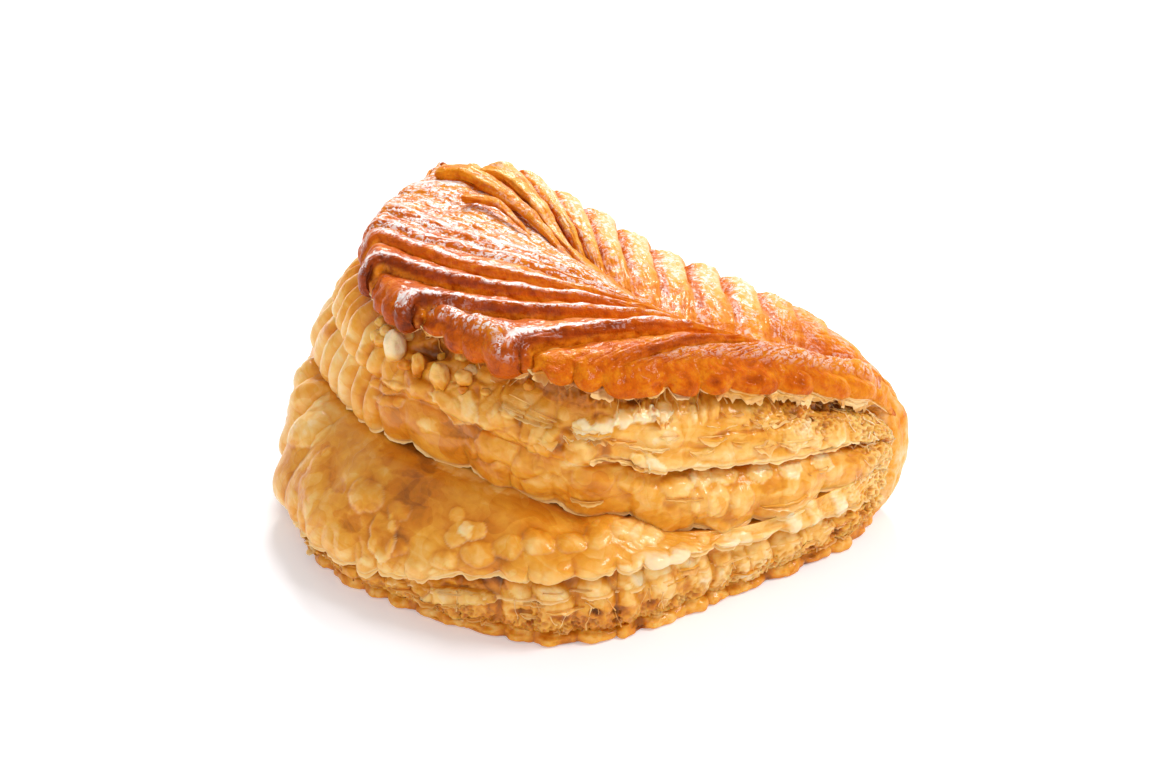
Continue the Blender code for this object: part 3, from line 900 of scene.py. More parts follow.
def sculpted(points, rows_of_marks, seed):
    """Rise, change of tone and pale edge from rows of marks. The darker tone of a dent, crack or hollow
    is painted shade.
    """
    rows, columns = points.shape[:2]
    seen_right = np.array([math.cos(CAMERA_AZIMUTH), math.sin(CAMERA_AZIMUTH), 0.0])
    seen_back = np.array([-math.sin(CAMERA_AZIMUTH), math.cos(CAMERA_AZIMUTH), 0.0])
    seen_up = seen_back * math.sin(CAMERA_ELEVATION) + np.array([0, 0, math.cos(CAMERA_ELEVATION)])
    seen_deep = np.cross(seen_right, seen_up)
    bend = [1.1 * rough(points, 0.0050, 3, seed + k, 0.6) for k in (0, 1)]
    fine = 0.10 * noise(points, 0.0010, seed + 3)
    rise, tone, rim = (np.zeros((rows, columns)) for _ in range(3))
    marks = marks_of(rows_of_marks, seed)
    for k, (round_share, down_share, wide, high, turn, height, shade, crisp) in enumerate(marks):
        down_share = min(max(down_share, 0.0), 1.0)
        centre = points[int(down_share * (rows - 1)), int(round_share * (columns - 1))]
        away = points - centre
        x, y = away @ seen_right * 1000 + bend[0], away @ seen_up * 1000 + bend[1]
        c, s = math.cos(math.radians(turn)), math.sin(math.radians(turn))
        u, v = (x * c + y * s) / wide, (y * c - x * s) / high
        oval = np.hypot(u, v)
        corners = 0.6 * k + np.arange(5) * 1.2566
        angular = np.max([u * math.cos(w) + v * math.sin(w) for w in corners], axis=0) * 1.12
        d = mix(oval, angular, 0.8 * crisp) + fine * crisp
        d = d + np.clip(np.abs(away @ seen_deep) * 1000 - 9, 0, 9)
        soft = np.clip(1 - d * d, 0, 1)
        plate = ease(1.0, 1.0 - 0.40 / wide, d) * (0.45 + 0.55 * np.clip(0.5 - 0.6 * v, 0, 1))
        rise = rise + 0.001 * height * mix(soft**1.4, plate, crisp)
        tone = tone + shade * mix(ease(0.0, 0.9, soft), ease(1.03, 0.95, d), crisp)
        lower_edge = bell(d, 0.97, 0.05) * ease(-0.9, 0.2, -v)
        rim = np.maximum(rim, 0.6 * crisp * lower_edge * (shade < 0.05))
    return rise, tone, rim


def scatter(points, low, high, count, seed):
    """Random points of a grid whose rows lie between two shares of its rows."""
    rng = np.random.default_rng(seed)
    rows = rng.integers(int(low * points.shape[0]), int(high * points.shape[0]), count)
    columns = rng.integers(0, points.shape[1], count)
    return points[rows, columns], rng


def layer_values(points, tone, pit_shade=None, edge=None, peel_size=0.008, seed=0):
    peel = 0.5 + 0.42 * rough(points, peel_size, 3, seed)
    zero = np.zeros(points.shape[:-1])
    return {
        "tone": tone, "peel": peel, "pit_shade": zero if pit_shade is None else pit_shade,
        "edge": zero if edge is None else edge,
    }


def terraces(points, size, seed, levels=4.0):
    """Steps between 0 and 1 with crisp edges, as where leaves have peeled away."""
    level = (0.5 + 0.42 * rough(points, size, 3, seed)) * levels
    whole = np.floor(level)
    return (whole + ease(0.86, 1.0, level - whole)) / levels


def holes(points, size, seed):
    """Crumb: 1 in the middle of a hole, 0 on the webs between holes of mixed size."""
    near, second, _ = cells(points, size, seed)
    fine_near, fine_second, _ = cells(points, size * 0.5, seed + 40)
    big = ease(0.12, 0.45, second - near)
    small = ease(0.15, 0.50, fine_second - fine_near)
    return np.maximum(big, 0.6 * small)


def upper_lip(s):
    """Height of the lip where the two halves part; it lifts in the valley between the bulges."""
    return along(UPPER_LIP_HEIGHT, s) + 0.0030 * bell(s, 0.318, 0.026)


def build_upper():
    s = np.linspace(0, 1, int(660 * max(FINE, 0.4)))
    crust, crust_in = along(CRUST_EDGE_HEIGHT, s), along(CRUST_INSET, s)
    upper, upper_in = upper_lip(s), along(UPPER_LIP_INSET, s)
    split = 0.0040 * band((0.03, 0.10), (0.25, 0.34), s)
    top = crust + CRUST_LIP
    left = ease(0.55, 0.66, s)
    lobe = mix(ruffle(s, 0.0150, 31, 0.9), ruffle(s, 0.0078, 32, 0.4), left)
    front = band((0.34, 0.44), (0.60, 0.70), s)
    deep = ease(0.24, 0.44, s)

    def wall(share, out, drop=0.0):
        return cornered(
            s, mix(crust_in, upper_in, share) - out, mix(crust, upper, share) - drop, top
        )

    lip = 0.0004 + 0.0010 * lobe
    controls = [
        cornered(s, crust_in + 0.0120, crust + 0.0026 + 0.0030 * (1 - ease(0.08, 0.20, s)), top),
        wall(0.00, -0.0065, -0.0012),
        wall(0.10, -0.0030 - 0.0030 * front),
        wall(0.24, -0.0002 - 0.0022 * front + 0.0010 * left),
        wall(0.38, 0.0010 + 0.0004 * left - 0.0006 * front),
        wall(0.47, 0.0012 + 0.0003 * lobe, 0.2 * split),
        wall(0.545, -split),
        wall(0.60, 0.0006 - 0.4 * split),
        wall(0.74, 0.0016 + 0.0004 * lobe),
        wall(0.90, lip + 0.0004),
        wall(1.00, lip - 0.0012, 0.0004 + 0.0007 * lobe),
        cornered(s, upper_in + mix(0.0026, 0.0060, deep), upper + 0.0002, top),
        cornered(s, upper_in + mix(0.0050, 0.0120, deep), upper + 0.0004, top),
    ]
    counts = fewer((5, 10, 12, 14, 10, 8, 8, 12, 14, 10, 8, 5), 0.4)
    points = loft(controls, counts)
    spot = spans(counts)[:, None] * np.ones_like(s)
    around = s * np.ones_like(spot)
    middle = band((1.3, 2.8), (10.2, 11.0), spot)
    across, down = distances(points)

    # Lobes down the left side, lumps by the nodules, a smooth apron below, leaves on the right.
    normal = facing(points)
    upright = flat(across, down * 0.30)
    bump = 0.0017 * lobe * left * middle * (1 - ease(9.0, 10.0, spot))
    apron = band((0.42, 0.47), (0.63, 0.69), around) * ease(3.8, 5.4, spot)
    lumpy = band((0.32, 0.37), (0.62, 0.68), around) * (1 - ease(3.6, 4.9, spot))
    lumpy = np.maximum(lumpy, band((0.34, 0.38), (0.45, 0.48), around))
    bent = points + 0.0022 * rough(points, 0.006, 2, 90)[..., None]
    lump, lump_value = pillows(bent, 0.0078, 91)
    small, _ = pillows(bent, 0.0034, 92)
    bump = bump + middle * lumpy * (0.0011 * (lump - 0.55) + 0.0002 * (small - 0.5))
    right = 1 - ease(0.30, 0.36, around)
    fold_lump, _ = pillows(upright, 0.0075, 93)
    bump += middle * right * (0.0004 * (fold_lump - 0.5) + 0.0001 * (small - 0.5))
    bump += 0.0010 * rough(points, 0.014, 2, 94) * middle
    bump += 0.00030 * rough(points, 0.0038, 3, 95) * middle * (1 - 0.8 * apron) * (1 - 0.5 * left)
    leaves = flat(across * 0.22, down)
    bump += 0.00022 * rough(leaves, 0.0020, 2, 96) * middle * right
    steps = terraces(points, 0.010, 36)
    bump += 0.0005 * (steps - 0.5) * middle * (1 - lumpy) * (1 - 0.9 * left) * (1 - 0.7 * apron)
    rise, shade, rim = sculpted(points, UPPER_ROWS, 110)
    points = points + normal * (bump + rise)[..., None]

    # Open crumb inside the right end and under the crust.
    fuzz = noise(points, 0.005, 38)
    hole = holes(points * np.array([1.0, 1.0, 0.8]), 0.0016, 37)
    crumb = (1 - ease(0.055, 0.10, around + 0.02 * fuzz)) * ease(0.8, 1.6, spot)
    under = (1 - ease(1.4, 2.4, spot + 1.1 * fuzz)) * ease(0.4, 1.0, spot)
    nest = bell(around, 0.115, 0.045) * (1 - ease(2.8, 4.2, spot + fuzz))
    under = under * ease(0.0, 0.3, noise(points, 0.009, 39) + 0.15)
    under = np.maximum(under, nest * ease(0.3, 1.0, spot))
    open_crumb = np.clip(crumb * (1 - ease(9.5, 10.5, spot)) + under, 0, 1)
    normal = facing(points)
    points = points - normal * (0.0009 * (hole - 0.25) * open_crumb)[..., None]

    # Tone: the dough's own tone varies at random and by region. Painted shade darkens the rows just
    # under the crust, the underside of the lip, the split between the two bulges on the right, the
    # creases between lumps and lobes, the dents and hollows of the marks, and creases found by
    # curvature.
    tone = 0.43 + 0.16 * rough(points, 0.012, 3, 40) + 0.09 * apron + 0.06 * right
    tone += 0.05 * (1 - ease(0.0, 0.5, lump)) * lumpy + 0.08 * (lump_value - 0.5) * lumpy
    tone += 0.03 * (1 - ease(0.0, 0.5, fold_lump)) * right + shade
    tone -= 0.10 * right * ease(5.8, 7.0, spot)
    tone -= 0.16 * right * (1 - ease(4.8, 5.6, spot)) + 0.10 * crumb
    tone += 0.40 * (1 - ease(1.0, 2.8, spot)) + 0.36 * ease(10.2, 11.0, spot)
    tone += 0.30 * bell(spot, 6.0, 0.45) * right
    tone += left * (0.34 * (1 - ease(1.8, 4.0, spot)) - 0.10 - 0.10 * lobe)
    sunk = hollows(points, facing(points))
    tone += 0.07 * sunk
    edge = 0.45 * band((9.5, 9.9), (10.1, 10.4), spot)
    edge += 0.6 * band((4.6, 5.0), (5.3, 5.6), spot) * right * ease(0.12, 0.18, around)
    edge = np.maximum(edge, rim)
    pit_shade = np.clip(hole * open_crumb * mix(0.9, 0.5, crumb), 0, 1)
    values = layer_values(points, tone, pit_shade, edge, 0.010, 36)
    make_sheet("upper_half", points, LAYERS, values, across=across, down=down)
    return points, spot, s


def build_lower():
    s = np.linspace(0, 1, int(660 * max(FINE, 0.4)))
    crust = along(CRUST_EDGE_HEIGHT, s)
    upper, upper_in = upper_lip(s), along(UPPER_LIP_INSET, s)
    lower = along(LOWER_LIP_HEIGHT, s)
    top = crust + CRUST_LIP
    lobe = ruffle(s, 0.0080, 41)
    left = ease(0.62, 0.72, s)
    front = band((0.36, 0.46), (0.62, 0.70), s)
    right = 1 - ease(0.26, 0.36, s)
    deep = ease(0.24, 0.44, s)

    def slope(across, down, out=0.0):
        return cornered(s, mix(upper_in, 0.0, across) - out, mix(upper, lower, down), top)

    lip = 0.0004 + 0.0008 * lobe
    controls = [
        cornered(s, upper_in + mix(0.0030, 0.0120, deep), upper - mix(0.0004, 0.0010, deep), top),
        cornered(s, upper_in + mix(0.0012, 0.0045, deep), upper - mix(0.0008, 0.0011, deep), top),
        slope(0.12, 0.08),
        slope(0.40, 0.17),
        slope(0.70, 0.38),
        slope(0.90, 0.62, 0.0002),
        slope(1.00, 0.86, lip),
        cornered(s, 0.0008 - lip, lower - 0.0005 * lobe, top),
        cornered(s, 0.0034 - 0.4 * lip, lower + 0.0001, top),
        cornered(s, 0.0024 - 0.8 * lip, mix(lower, BASE_CRUST, 0.26), top),
        cornered(s, 0.0012 - 1.0 * lip, mix(lower, BASE_CRUST, 0.50), top),
        cornered(s, 0.0016 - 1.0 * lip, mix(lower, BASE_CRUST, 0.78), top),
        cornered(s, 0.0034 - 0.8 * lip, BASE_CRUST + 0.0002, top),
        cornered(s, 0.0080 + 0.0 * s, BASE_CRUST - 0.0006, top),
    ]
    counts = fewer((5, 8, 16, 18, 14, 14, 7, 7, 7, 9, 9, 8, 4), 0.4)
    points = loft(controls, counts)
    spot = spans(counts)[:, None] * np.ones_like(s)
    around = s * np.ones_like(spot)
    normal = facing(points)
    across, down = distances(points)
    shown = band((1.2, 2.4), (12.2, 12.9), spot)
    dome = band((1.5, 3.0), (6.8, 7.2), spot)
    layered = band((7.4, 8.2), (12.0, 12.8), spot)

    # A smooth dome with blisters, lumps along its lip, and stacked leaves and dough below it.
    side_lobe = ruffle(s, 0.0105, 52, 0.4)
    bump = (0.0024 * side_lobe * left + 0.0016 * rough(points, 0.018, 2, 42)) * dome
    lump, _ = pillows(points + 0.0016 * rough(points, 0.005, 2, 97)[..., None], 0.0078, 98)
    lip_zone = ease(4.6, 5.8, spot + 1.0 * noise(points, 0.010, 99)) * (1 - ease(7.0, 7.4, spot))
    lip_zone = lip_zone * band((0.18, 0.26), (0.60, 0.68), around)
    bump += 0.0006 * (lump - 0.45) * lip_zone
    upright = flat(across, down * 0.35)
    flute, _ = pillows(upright, 0.0058, 100)
    bump += 0.0009 * (flute - 0.5) * layered
    small, _ = pillows(points, 0.0032, 101)
    bump += (0.0002 * (small - 0.5) + 0.0003 * rough(points, 0.0030, 2, 43)) * layered
    leaves = flat(across * 0.22, down)
    leaf = rough(leaves, 0.0013, 2, 44)
    bump += 0.00026 * leaf * np.clip(layered + right * dome, 0, 1)
    bump += 0.00012 * rough(points, 0.0030, 2, 45) * dome
    spots, rng = scatter(points, 0.28, 0.52, 10, 46)
    radii = rng.uniform(0.0012, 0.0026, 10)
    rise, mask = blisters(points, spots, radii, radii * 0.26)
    bump += rise * dome
    steps = terraces(points, 0.012, 47)
    bump += 0.0002 * (steps - 0.5) * dome
    lift, shade, rim = sculpted(points, LOWER_ROWS, 120)
    points = points + normal * (bump + lift)[..., None]

    fuzz = noise(points, 0.006, 49)
    hole = holes(points * np.array([1.0, 1.0, 1.2]), 0.0019, 48)
    low = ease(10.0, 11.4, spot + 1.2 * fuzz)
    corner = (1 - ease(0.05, 0.12, around + 0.03 * fuzz)) * ease(2.0, 3.0, spot)
    open_crumb = np.clip(low + corner, 0, 1) * shown
    points = points - facing(points) * (0.0012 * (hole - 0.2) * open_crumb)[..., None]

    # Tone: the dough's own tone varies at random and by region. Painted shade darkens the top rows in
    # the mouth under the upper lip, the creases between lumps and flutes, the dents and cracks of the
    # marks, and creases found by curvature.
    tone = 0.44 + 0.16 * rough(points, 0.015, 2, 51)
    tone += 0.10 * front * bell(spot, 3.6, 1.6)
    tone -= 0.16 * right + 0.10 * left * dome + 0.06 * lump * lip_zone - shade
    tone += 0.32 * (1 - ease(1.2, 2.2, spot)) - 0.08 * mask
    tone += 0.20 * band((7.6, 8.0), (8.6, 9.2), spot) + 0.10 * low
    tone += (0.14 * leaf - 0.10 * (flute - 0.5) + 0.08) * layered
    sunk = hollows(points, facing(points))
    tone += 0.12 * sunk
    edge = np.maximum(rim, 0.7 * band((6.7, 6.9), (7.1, 7.4), spot))
    pit_shade = np.clip(hole * open_crumb * 0.9, 0, 1)
    values = layer_values(points, tone, pit_shade, edge, 0.012, 47)
    make_sheet("lower_half", points, LAYERS, values, across=across, down=down)
    return points, spot, s


def build_base():
    s = np.linspace(0, 1, int(640 * max(FINE, 0.4)))
    top = along(CRUST_EDGE_HEIGHT, s) + CRUST_LIP
    lobe = ruffle(s, 0.0080, 41)
    out = 0.0010 * lobe
    lift = 0.0012 * noise(np.stack([s * 0.25, 0 * s, 0 * s], -1), 0.007, 64)
    controls = [
        cornered(s, 0.0080 + 0 * s, BASE_CRUST + 0.0002 + lift, top, 0.0),
        cornered(s, 0.0040 - out, BASE_CRUST - 0.0002 + lift, top, 0.0),
        cornered(s, 0.0029 - out, BASE_CRUST - 0.0008 + lift, top, 0.0),
        cornered(s, 0.0022 - out, 0.0012 + 0.4 * lift, top, 0.0),
        cornered(s, 0.0025 - out, 0.0001 + 0 * s, top, 0.0),
        cornered(s, 0.0060 + 0 * s, 0.0 * s, top, 0.0),
        cornered(s, 0.0260 + 0 * s, 0.0 * s, top, 0.0),
    ]
    counts = fewer((6, 8, 8, 8, 10, 12), 0.5)
    points = loft(controls, counts)
    spot = spans(counts)[:, None] * np.ones_like(s)
    shown = band((0.5, 1.5), (3.8, 4.3), spot)
    across, down = distances(points)
    bump = (0.00095 * rough(points, 0.0040, 3, 62) + 0.0006 * rough(points, 0.010, 1, 65)) * shown
    points = points + facing(points) * bump[..., None]
    tone = 0.48 + 0.22 * ease(3.0, 4.0, spot) + 0.26 * rough(points, 0.005, 2, 63)
    # Painted shade in hollows.
    tone += 0.15 * hollows(points, facing(points))
    values = layer_values(points, tone, None, None, 0.006, 68)
    make_sheet("bottom_crust", points, LAYERS, values, across=across, down=down)


def build_underside():
    share = np.linspace(0.05, 0.95, int(160 * max(FINE, 0.5)))
    near = place(RIM, share, 0.0030, 0.0)
    far = place(FOLD, share, 0.0070, 0.0)
    points = np.array([mix(near, far, k / 30) for k in range(31)])
    points[..., 2] = 0.00004 + 0.00010 * (1 + rough(points, 0.006, 3, 66))
    bake_and_shade = 0.42 + 0.25 * rough(points, 0.012, 3, 67)
    zero = np.zeros_like(bake_and_shade)
    make_sheet("underside", points, CRUST, {"bake_and_shade": bake_and_shade, "wall": zero, "frost_and_glare": zero}, flip=True)


# ---------------------------------------------------------------- crumbs, flakes and threads
class Sheets:
    """Many small grids gathered into one mesh."""

    def __init__(self):
        self.points, self.faces, self.flow, self.count = [], [], [], 0
        self.values = {"tone": [], "peel": [], "pit_shade": [], "edge": []}

    def add(self, points, tone, edge=0.0, pit_shade=0.0, flip=False):
        rows, columns = points.shape[:2]
        across, down = distances(points)
        flow = flat(across, down)
        self.points.append(settle(points).reshape(-1, 3))
        self.flow.append(flow.reshape(-1, 3))
        self.faces.append(grid_faces(rows, columns, flip) + self.count)
        for key, value in (("tone", tone), ("peel", 0.2), ("pit_shade", pit_shade), ("edge", edge)):
            self.values[key].append(np.broadcast_to(value, (rows, columns)).ravel())
        self.count += rows * columns

    def make(self, name, material):
        values = {key: np.concatenate(parts) for key, parts in self.values.items()}
        make_mesh(
            name, np.concatenate(self.points), np.concatenate(self.faces), material, values,
            {"flow": np.concatenate(self.flow)},
        )


def row_at(grid, spot):
    return int(np.argmin(np.abs(grid[1][:, 0] - spot)))


def column_at(grid, share):
    return int(np.argmin(np.abs(grid[2] - share)))


def blob(centre, radii, seed):
    """A lumpy closed ball."""
    up = np.linspace(0.0, np.pi, 15)[:, None]
    turn = np.linspace(0.0, 2 * np.pi, 23)[None, :]
    east, north = np.sin(up) * np.cos(turn), np.sin(up) * np.sin(turn)
    ball = np.stack([east, north, np.cos(up) + 0 * turn], axis=-1)
    swell = 1 + 0.42 * rough(ball, 0.9, 3, seed)
    return centre + ball * np.asarray(radii) * swell[..., None]


def build_nodules(upper):
    """Pebbles of dough in the hollow under the crust, where the layers have puffed apart."""
    rng = np.random.default_rng(7)
    sheets = Sheets()
    points = upper[0]
    normal = facing(points)
    large = [
        # share round the rim, share down, radius, shape, tone
        (0.575, 0.235, 0.0026, (0.95, 0.95, 1.35), 0.06),
        (0.508, 0.270, 0.0021, (0.9, 0.9, 1.4), 0.28),
        (0.535, 0.265, 0.0018, (0.8, 0.8, 1.5), 0.44),
        (0.478, 0.230, 0.0017, (1.2, 1.0, 0.9), 0.40),
        (0.556, 0.290, 0.0013, (1.1, 1.1, 0.8), 0.55),
        (0.606, 0.210, 0.0014, (1.0, 1.0, 1.0), 0.38),
    ]
    small = []
    for _ in range(11):
        shape = rng.uniform(0.7, 1.2, 3) * np.array([1.2, 1.2, 0.9])
        tone = rng.choice([0.24, 0.40, 0.56])
        share, down = rng.uniform(0.40, 0.66), rng.uniform(0.14, 0.30)
        small.append((share, down, rng.uniform(0.0009, 0.0017), shape, tone))
    for k, (share, down, size, shape, tone) in enumerate(large + small):
        row, column = int(down * (len(points) - 1)), column_at(upper, share)
        stands_out = 0.8 if k < len(large) else 0.1
        centre = points[row, column] + normal[row, column] * size * stands_out
        ball = blob(centre, size * np.asarray(shape), 200 + k)
        # Darker on the lower side of each pebble: painted shade.
        low = ease(-0.2, 0.9, (centre[2] - ball[..., 2]) / size)
        sheets.add(ball, tone + 0.25 * low + 0.1 * rough(ball, 0.002, 2, 5))
    sheets.make("nodules", LAYERS)


def hang(grid, spot, share, width, length, lean, seed):
    """A torn leaf hanging from a row of a sheet; lean is how far its end stands out."""
    points, s = grid[0], grid[2]
    row = row_at(grid, spot)
    half = width / RIM.length / 2
    places = np.linspace(max(share - half, 0.004), min(share + half, 0.996), 12)
    base = np.stack([np.interp(places, s, points[row, :, i]) for i in range(3)], axis=-1)
    _, way = RIM.at(places)
    out = np.concatenate([-way, np.zeros((len(places), 1))], axis=-1)
    across = np.linspace(-1, 1, len(places))
    jag = noise(np.stack([places * RIM.length, 0 * places, 0 * places], -1), 0.0014, seed)
    reach = length * (1 - 0.75 * across**2) * (0.75 + 0.55 * jag)
    rows = []
    for k in range(9):
        t = k / 8
        drop = np.array([0.0, 0.0, -1.0]) * (t * reach)[:, None]
        rows.append(base + drop + out * (lean * t * t + 0.0004 * math.sin(9 * t + seed))[..., None])
    leaf = np.array(rows)
    loose = np.linspace(0, 1, 9)[:, None, None]
    return leaf + 0.0009 * noise(leaf, 0.0024, seed)[..., None] * out * loose


def build_flakes(crust, upper, lower):
    """Torn leaves: under the crust, on the crease of the upper half and along both lips."""
    rng = np.random.default_rng(11)
    sheets = Sheets()

    def row_of(grid, count, shares, spots, widths, lengths, leans, tones):
        for _ in range(count):
            share = rng.uniform(*shares)
            leaf = hang(
                grid, rng.uniform(*spots), share, rng.uniform(*widths), rng.uniform(*lengths),
                np.array(rng.uniform(*leans)), int(rng.integers(1, 999)),
            )
            edge = np.linspace(0, 1, 9)[:, None] ** 4 * 0.6
            sheets.add(leaf, rng.uniform(*tones), edge)

    for grid, count, shares, spots, widths, lengths, leans, tones in (
        (
            crust, 34, (0.05, 0.42), (9.2, 9.7), (0.003, 0.010), (0.0012, 0.0042),
            (-0.002, 0.0022), (0.15, 0.5),
        ),
        (
            crust, 20, (0.40, 0.72), (9.3, 9.9), (0.002, 0.006), (0.0010, 0.0030),
            (-0.002, 0.0010), (0.2, 0.6),
        ),
        (
            upper, 26, (0.10, 0.46), (2.2, 4.0), (0.003, 0.011), (0.0012, 0.0036),
            (0.0000, 0.0012), (0.2, 0.5),
        ),
        (
            upper, 6, (0.08, 0.34), (5.0, 5.4), (0.004, 0.012), (0.0006, 0.0018),
            (0.0000, 0.0008), (0.2, 0.4),
        ),
        (
            upper, 4, (0.12, 0.36), (7.6, 9.2), (0.004, 0.010), (0.0010, 0.0024),
            (0.0000, 0.0008), (0.3, 0.5),
        ),
        (
            lower, 16, (0.08, 0.70), (7.6, 10.0), (0.003, 0.010), (0.0008, 0.0024),
            (0.0000, 0.0010), (0.2, 0.5),
        ),
        (
            lower, 18, (0.06, 0.74), (9.6, 11.6), (0.002, 0.008), (0.0006, 0.0018),
            (0.0000, 0.0008), (0.3, 0.7),
        ),
    ):
        row_of(grid, count, shares, spots, widths, lengths, leans, tones)

    def skirt(grid, spot, shares, reach, seed, tone):
        """A thin ragged edge along a lip."""
        points = grid[0]
        first, last = column_at(grid, shares[0]), column_at(grid, shares[1])
        base = points[row_at(grid, spot), first:last]
        _, way = RIM.at(grid[2][first:last])
        out = np.concatenate([-way, np.full((len(way), 1), -0.75)], axis=-1)
        jag = rough(base, 0.0030, 3, seed)
        length = reach * np.clip(0.45 + 1.3 * jag, 0.02, 1.5)
        rows = [base - 0.0003 * out]
        for k in range(4):
            droop = np.array([0, 0, -0.0004 * (k / 3) ** 2])
            rows.append(base + out * (length * k / 3)[:, None] + droop)
        edge = np.array([0.0, 0.1, 0.2, 0.4, 0.9])[:, None]
        sheets.add(np.array(rows), tone, edge)

    skirt(crust, 9.2, (0.03, 0.66), 0.0005, 301, 0.40)
    skirt(upper, 9.95, (0.06, 0.90), 0.0005, 302, 0.32)
    skirt(upper, 5.1, (0.08, 0.30), 0.0005, 303, 0.25)
    skirt(lower, 7.0, (0.06, 0.90), 0.0006, 304, 0.30)
    skirt(lower, 9.6, (0.10, 0.80), 0.0005, 305, 0.50)
    sheets.make("flakes", LEAVES)


def build_threads(upper, lower):
    """Fine webs of crumb across the hollows."""
    rng = np.random.default_rng(13)
    sheets = Sheets()

    def thread(start, end, sag, radius, tone):
        t = np.linspace(0, 1, 9)[:, None]
        line = start + (end - start) * t + np.array([0, 0, -sag]) * np.sin(np.pi * t)
        line = line + 0.0004 * np.stack([noise(line, 0.0016, k) for k in (1, 2, 3)], axis=-1)
        turn = np.linspace(0, 2 * np.pi, 6)[None, :, None]
        aim = (end - start) / max(np.linalg.norm(end - start), 1e-9)
        side = np.cross(aim, [0.3, 0.2, 1.0])
        side /= max(np.linalg.norm(side), 1e-9)
        up = np.cross(aim, side)
        width = radius * (0.6 + 0.8 * np.abs(np.linspace(-1, 1, 9)))[:, None, None]
        tube = line[:, None, :] + width * (np.cos(turn) * side + np.sin(turn) * up)
        sheets.add(tube, tone, 0.25)

    def between(grid, count, shares, spots, step, reach, tones):
        points, normal = grid[0], facing(grid[0])
        for _ in range(count):
            share = rng.uniform(*shares)
            spot = rng.uniform(*spots)
            row, column = row_at(grid, spot), column_at(grid, share)
            far_row = row_at(grid, spot + rng.uniform(*step))
            far_column = column_at(grid, share + rng.uniform(-reach, reach))
            lift = 0.0004
            start = points[row, column] + normal[row, column] * lift
            end = points[far_row, far_column] + normal[far_row, far_column] * lift
            sag, radius = rng.uniform(-0.0006, 0.0008), rng.uniform(0.00006, 0.00016)
            thread(start, end, sag, radius, rng.uniform(*tones))

    between(upper, 40, (0.06, 0.34), (0.6, 1.6), (0.3, 0.8), 0.012, (0.2, 0.6))
    between(upper, 26, (0.42, 0.56), (0.8, 2.0), (0.3, 0.8), 0.012, (0.2, 0.6))
    between(upper, 60, (0.01, 0.09), (1.5, 9.5), (0.3, 1.2), 0.006, (0.0, 0.3))
    between(lower, 90, (0.02, 0.80), (9.5, 12.0), (0.4, 1.4), 0.008, (0.2, 0.6))
    sheets.make("threads", LEAVES)


def build_ribbons():
    """Loose ends of pastry that curl along the spine, over the back left corner."""
    ribbons = (
        (
            (
                (-0.0460, 0.0260, 0.0565), (-0.0405, 0.0295, 0.0565), (-0.0290, 0.0275, 0.0560),
                (-0.0145, 0.0215, 0.0550), (0.0005, 0.0130, 0.0525),
            ),
            0.0026, 0.0017, 0.48,
        ),
        (
            (
                (-0.0400, 0.0345, 0.0555), (-0.0320, 0.0350, 0.0555), (-0.0205, 0.0290, 0.0550),
                (-0.0080, 0.0205, 0.0535), (0.0060, 0.0130, 0.0520),
            ),
            0.0020, 0.0013, 0.42,
        ),
        (
            ((-0.0330, 0.0185, 0.0575), (-0.0245, 0.0200, 0.0575), (-0.0125, 0.0150, 0.0560)),
            0.0012, 0.0008, 0.52,
        ),
    )
    for number, (path, half_width, half_height, bake_level) in enumerate(ribbons):
        path = np.array(path)
        share = np.linspace(0, 1, int(150 * max(FINE, 0.5)))
        middle = np.stack([along(path[:, i], share) for i in range(3)], axis=-1)
        aim = np.gradient(middle, axis=0)
        aim /= np.linalg.norm(aim, axis=1)[:, None]
        side = np.cross(aim, [0.0, 0.0, 1.0])
        side /= np.linalg.norm(side, axis=1)[:, None]
        up = np.cross(side, aim)
        turn = np.linspace(0, 2 * np.pi, 44)[:, None, None]
        taper = np.clip(share / 0.10, 0, 1) ** 0.5 * mix(1.0, 0.30, ease(0.25, 1.0, share))
        taper = taper[:, None]
        wide = np.sign(np.cos(turn)) * np.abs(np.cos(turn)) ** 0.8
        high = np.sign(np.sin(turn)) * np.abs(np.sin(turn)) ** 0.9
        points = middle + taper * (wide * half_width * side + high * half_height * up)
        across, down = distances(points)
        strands = flat(across * 0.10, down)
        bump = 0.00042 * rough(strands, 0.0012, 3, 81 + number)
        bump = bump + 0.0004 * rough(points, 0.005, 2, 84)
        whole = np.clip(share / 0.03, 0, 1)[:, None]
        points = points + facing(points, -1.0) * bump[..., None] * whole
        # Paler and specked white along the top of each ribbon: painted highlight.
        bake_and_shade = bake_level + 0.24 * rough(strands, 0.0014, 3, 87) - 0.12 * (high[..., 0] > 0.8)
        frost_and_glare = 0.25 * ease(0.3, 0.9, high[..., 0]) * np.ones_like(bake_and_shade) * ease(0.3, 0.6, share)
        make_sheet(
            f"ribbon_{number + 1}", points, CRUST, {"bake_and_shade": bake_and_shade, "wall": 0 * bake_and_shade, "frost_and_glare": frost_and_glare},
            flip=True, across=down, down=across,
        )


crust_grid = build_crust()
build_spine_edge(crust_grid)
build_ribbons()
build_fold()
upper_grid = build_upper()
lower_grid = build_lower()
build_base()
build_underside()
build_nodules(upper_grid)
build_flakes(crust_grid, upper_grid, lower_grid)
build_threads(upper_grid, lower_grid)


# ---------------------------------------------------------------- table, light and camera
TABLE_HALF = 3.0
TABLE_TOP = -0.0002  # just under the pastry, so that the two don't share a plane
CAMERA_DISTANCE = 0.58
CAMERA_AIM = (0.0092 - PLAN_CENTRE[0], 0.0036 - PLAN_CENTRE[1], 0.0306)


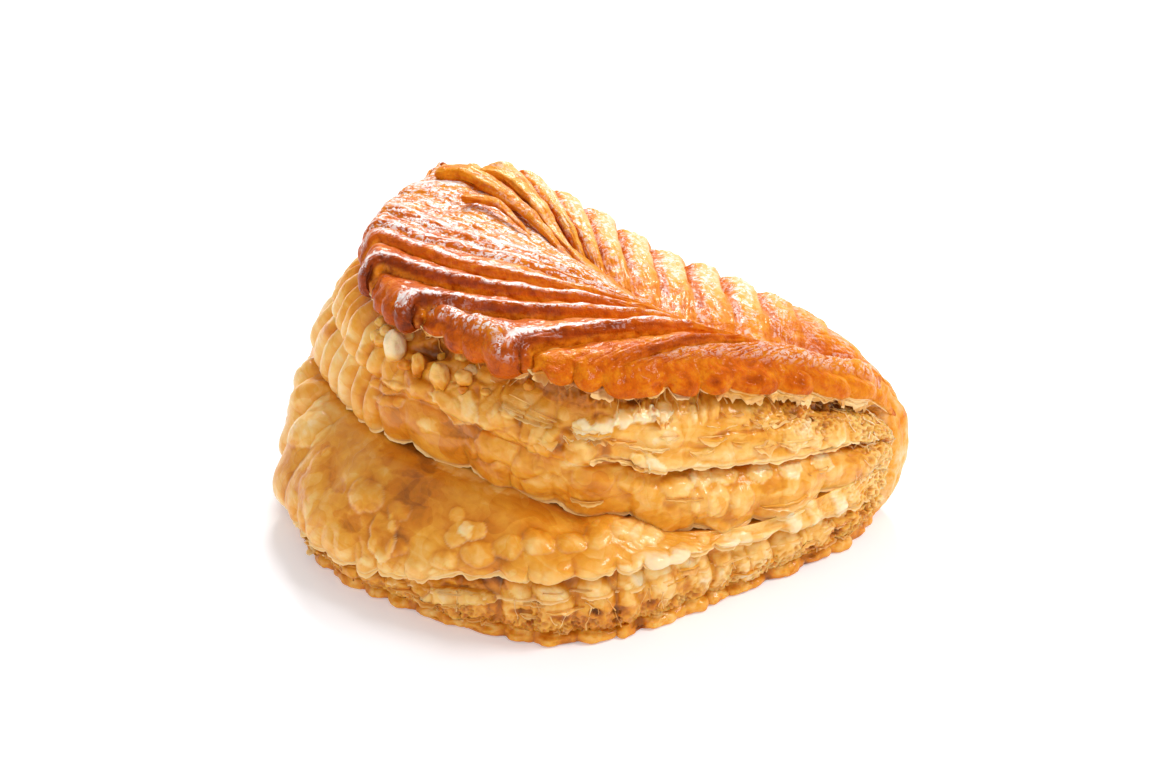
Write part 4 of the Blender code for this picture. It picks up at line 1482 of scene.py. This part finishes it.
def plain_floor():
    mesh = bpy.data.meshes.new("table")
    corners = ((-1, -1), (1, -1), (1, 1), (-1, 1))
    points = [(x * TABLE_HALF, y * TABLE_HALF, TABLE_TOP) for x, y in corners]
    mesh.from_pydata(points, [], [(0, 1, 2, 3)])
    material = bpy.data.materials.new("table_white")
    material.use_nodes = True
    shader = material.node_tree.nodes["Principled BSDF"]
    shader.inputs["Base Color"].default_value = (0.90, 0.89, 0.92, 1.0)
    shader.inputs["Roughness"].default_value = 0.8
    shader.inputs["Specular IOR Level"].default_value = 0.2
    shader.inputs["Emission Color"].default_value = (1.0, 1.0, 1.0, 1.0)
    shader.inputs["Emission Strength"].default_value = 0.22
    mesh.materials.append(material)
    table = bpy.data.objects.new("table", mesh)
    bpy.context.scene.collection.objects.link(table)


def soft_light(name, place, aim, size, power):
    light = bpy.data.lights.new(name, "AREA")
    light.shape = "RECTANGLE"
    light.size, light.size_y = size
    light.energy = power
    lamp = bpy.data.objects.new(name, light)
    lamp.location = place
    lamp.rotation_euler = (Vector(aim) - Vector(place)).to_track_quat("-Z", "Y").to_euler()
    bpy.context.scene.collection.objects.link(lamp)


def white_world():
    world = bpy.data.worlds.new("studio")
    bpy.context.scene.world = world
    world.use_nodes = True
    back = world.node_tree.nodes["Background"]
    back.inputs["Color"].default_value = (1.0, 1.0, 1.0, 1.0)
    back.inputs["Strength"].default_value = 0.47


def add_camera():
    back = Vector(
        (
            math.sin(CAMERA_AZIMUTH) * math.cos(CAMERA_ELEVATION),
            -math.cos(CAMERA_AZIMUTH) * math.cos(CAMERA_ELEVATION),
            math.sin(CAMERA_ELEVATION),
        )
    )
    data = bpy.data.cameras.new("camera")
    data.lens = 85
    data.sensor_width = 36
    data.clip_start, data.clip_end = 0.01, 20
    camera = bpy.data.objects.new("camera", data)
    camera.location = Vector(CAMERA_AIM) + back * CAMERA_DISTANCE
    camera.rotation_euler = back.to_track_quat("Z", "Y").to_euler()
    bpy.context.scene.collection.objects.link(camera)
    bpy.context.scene.camera = camera


plain_floor()
white_world()
soft_light("key", (1.10, 0.50, 1.35), (0, 0, 0.03), (0.55, 0.55), 16.0)
soft_light("back", (-0.80, 1.25, 1.00), (0, 0, 0.04), (0.50, 0.40), 28.0)
soft_light("front", (0.30, -1.60, 1.10), (0, 0, 0.02), (2.2, 1.6), 10.0)
add_camera()
bpy.context.scene.view_settings.view_transform = "Standard"
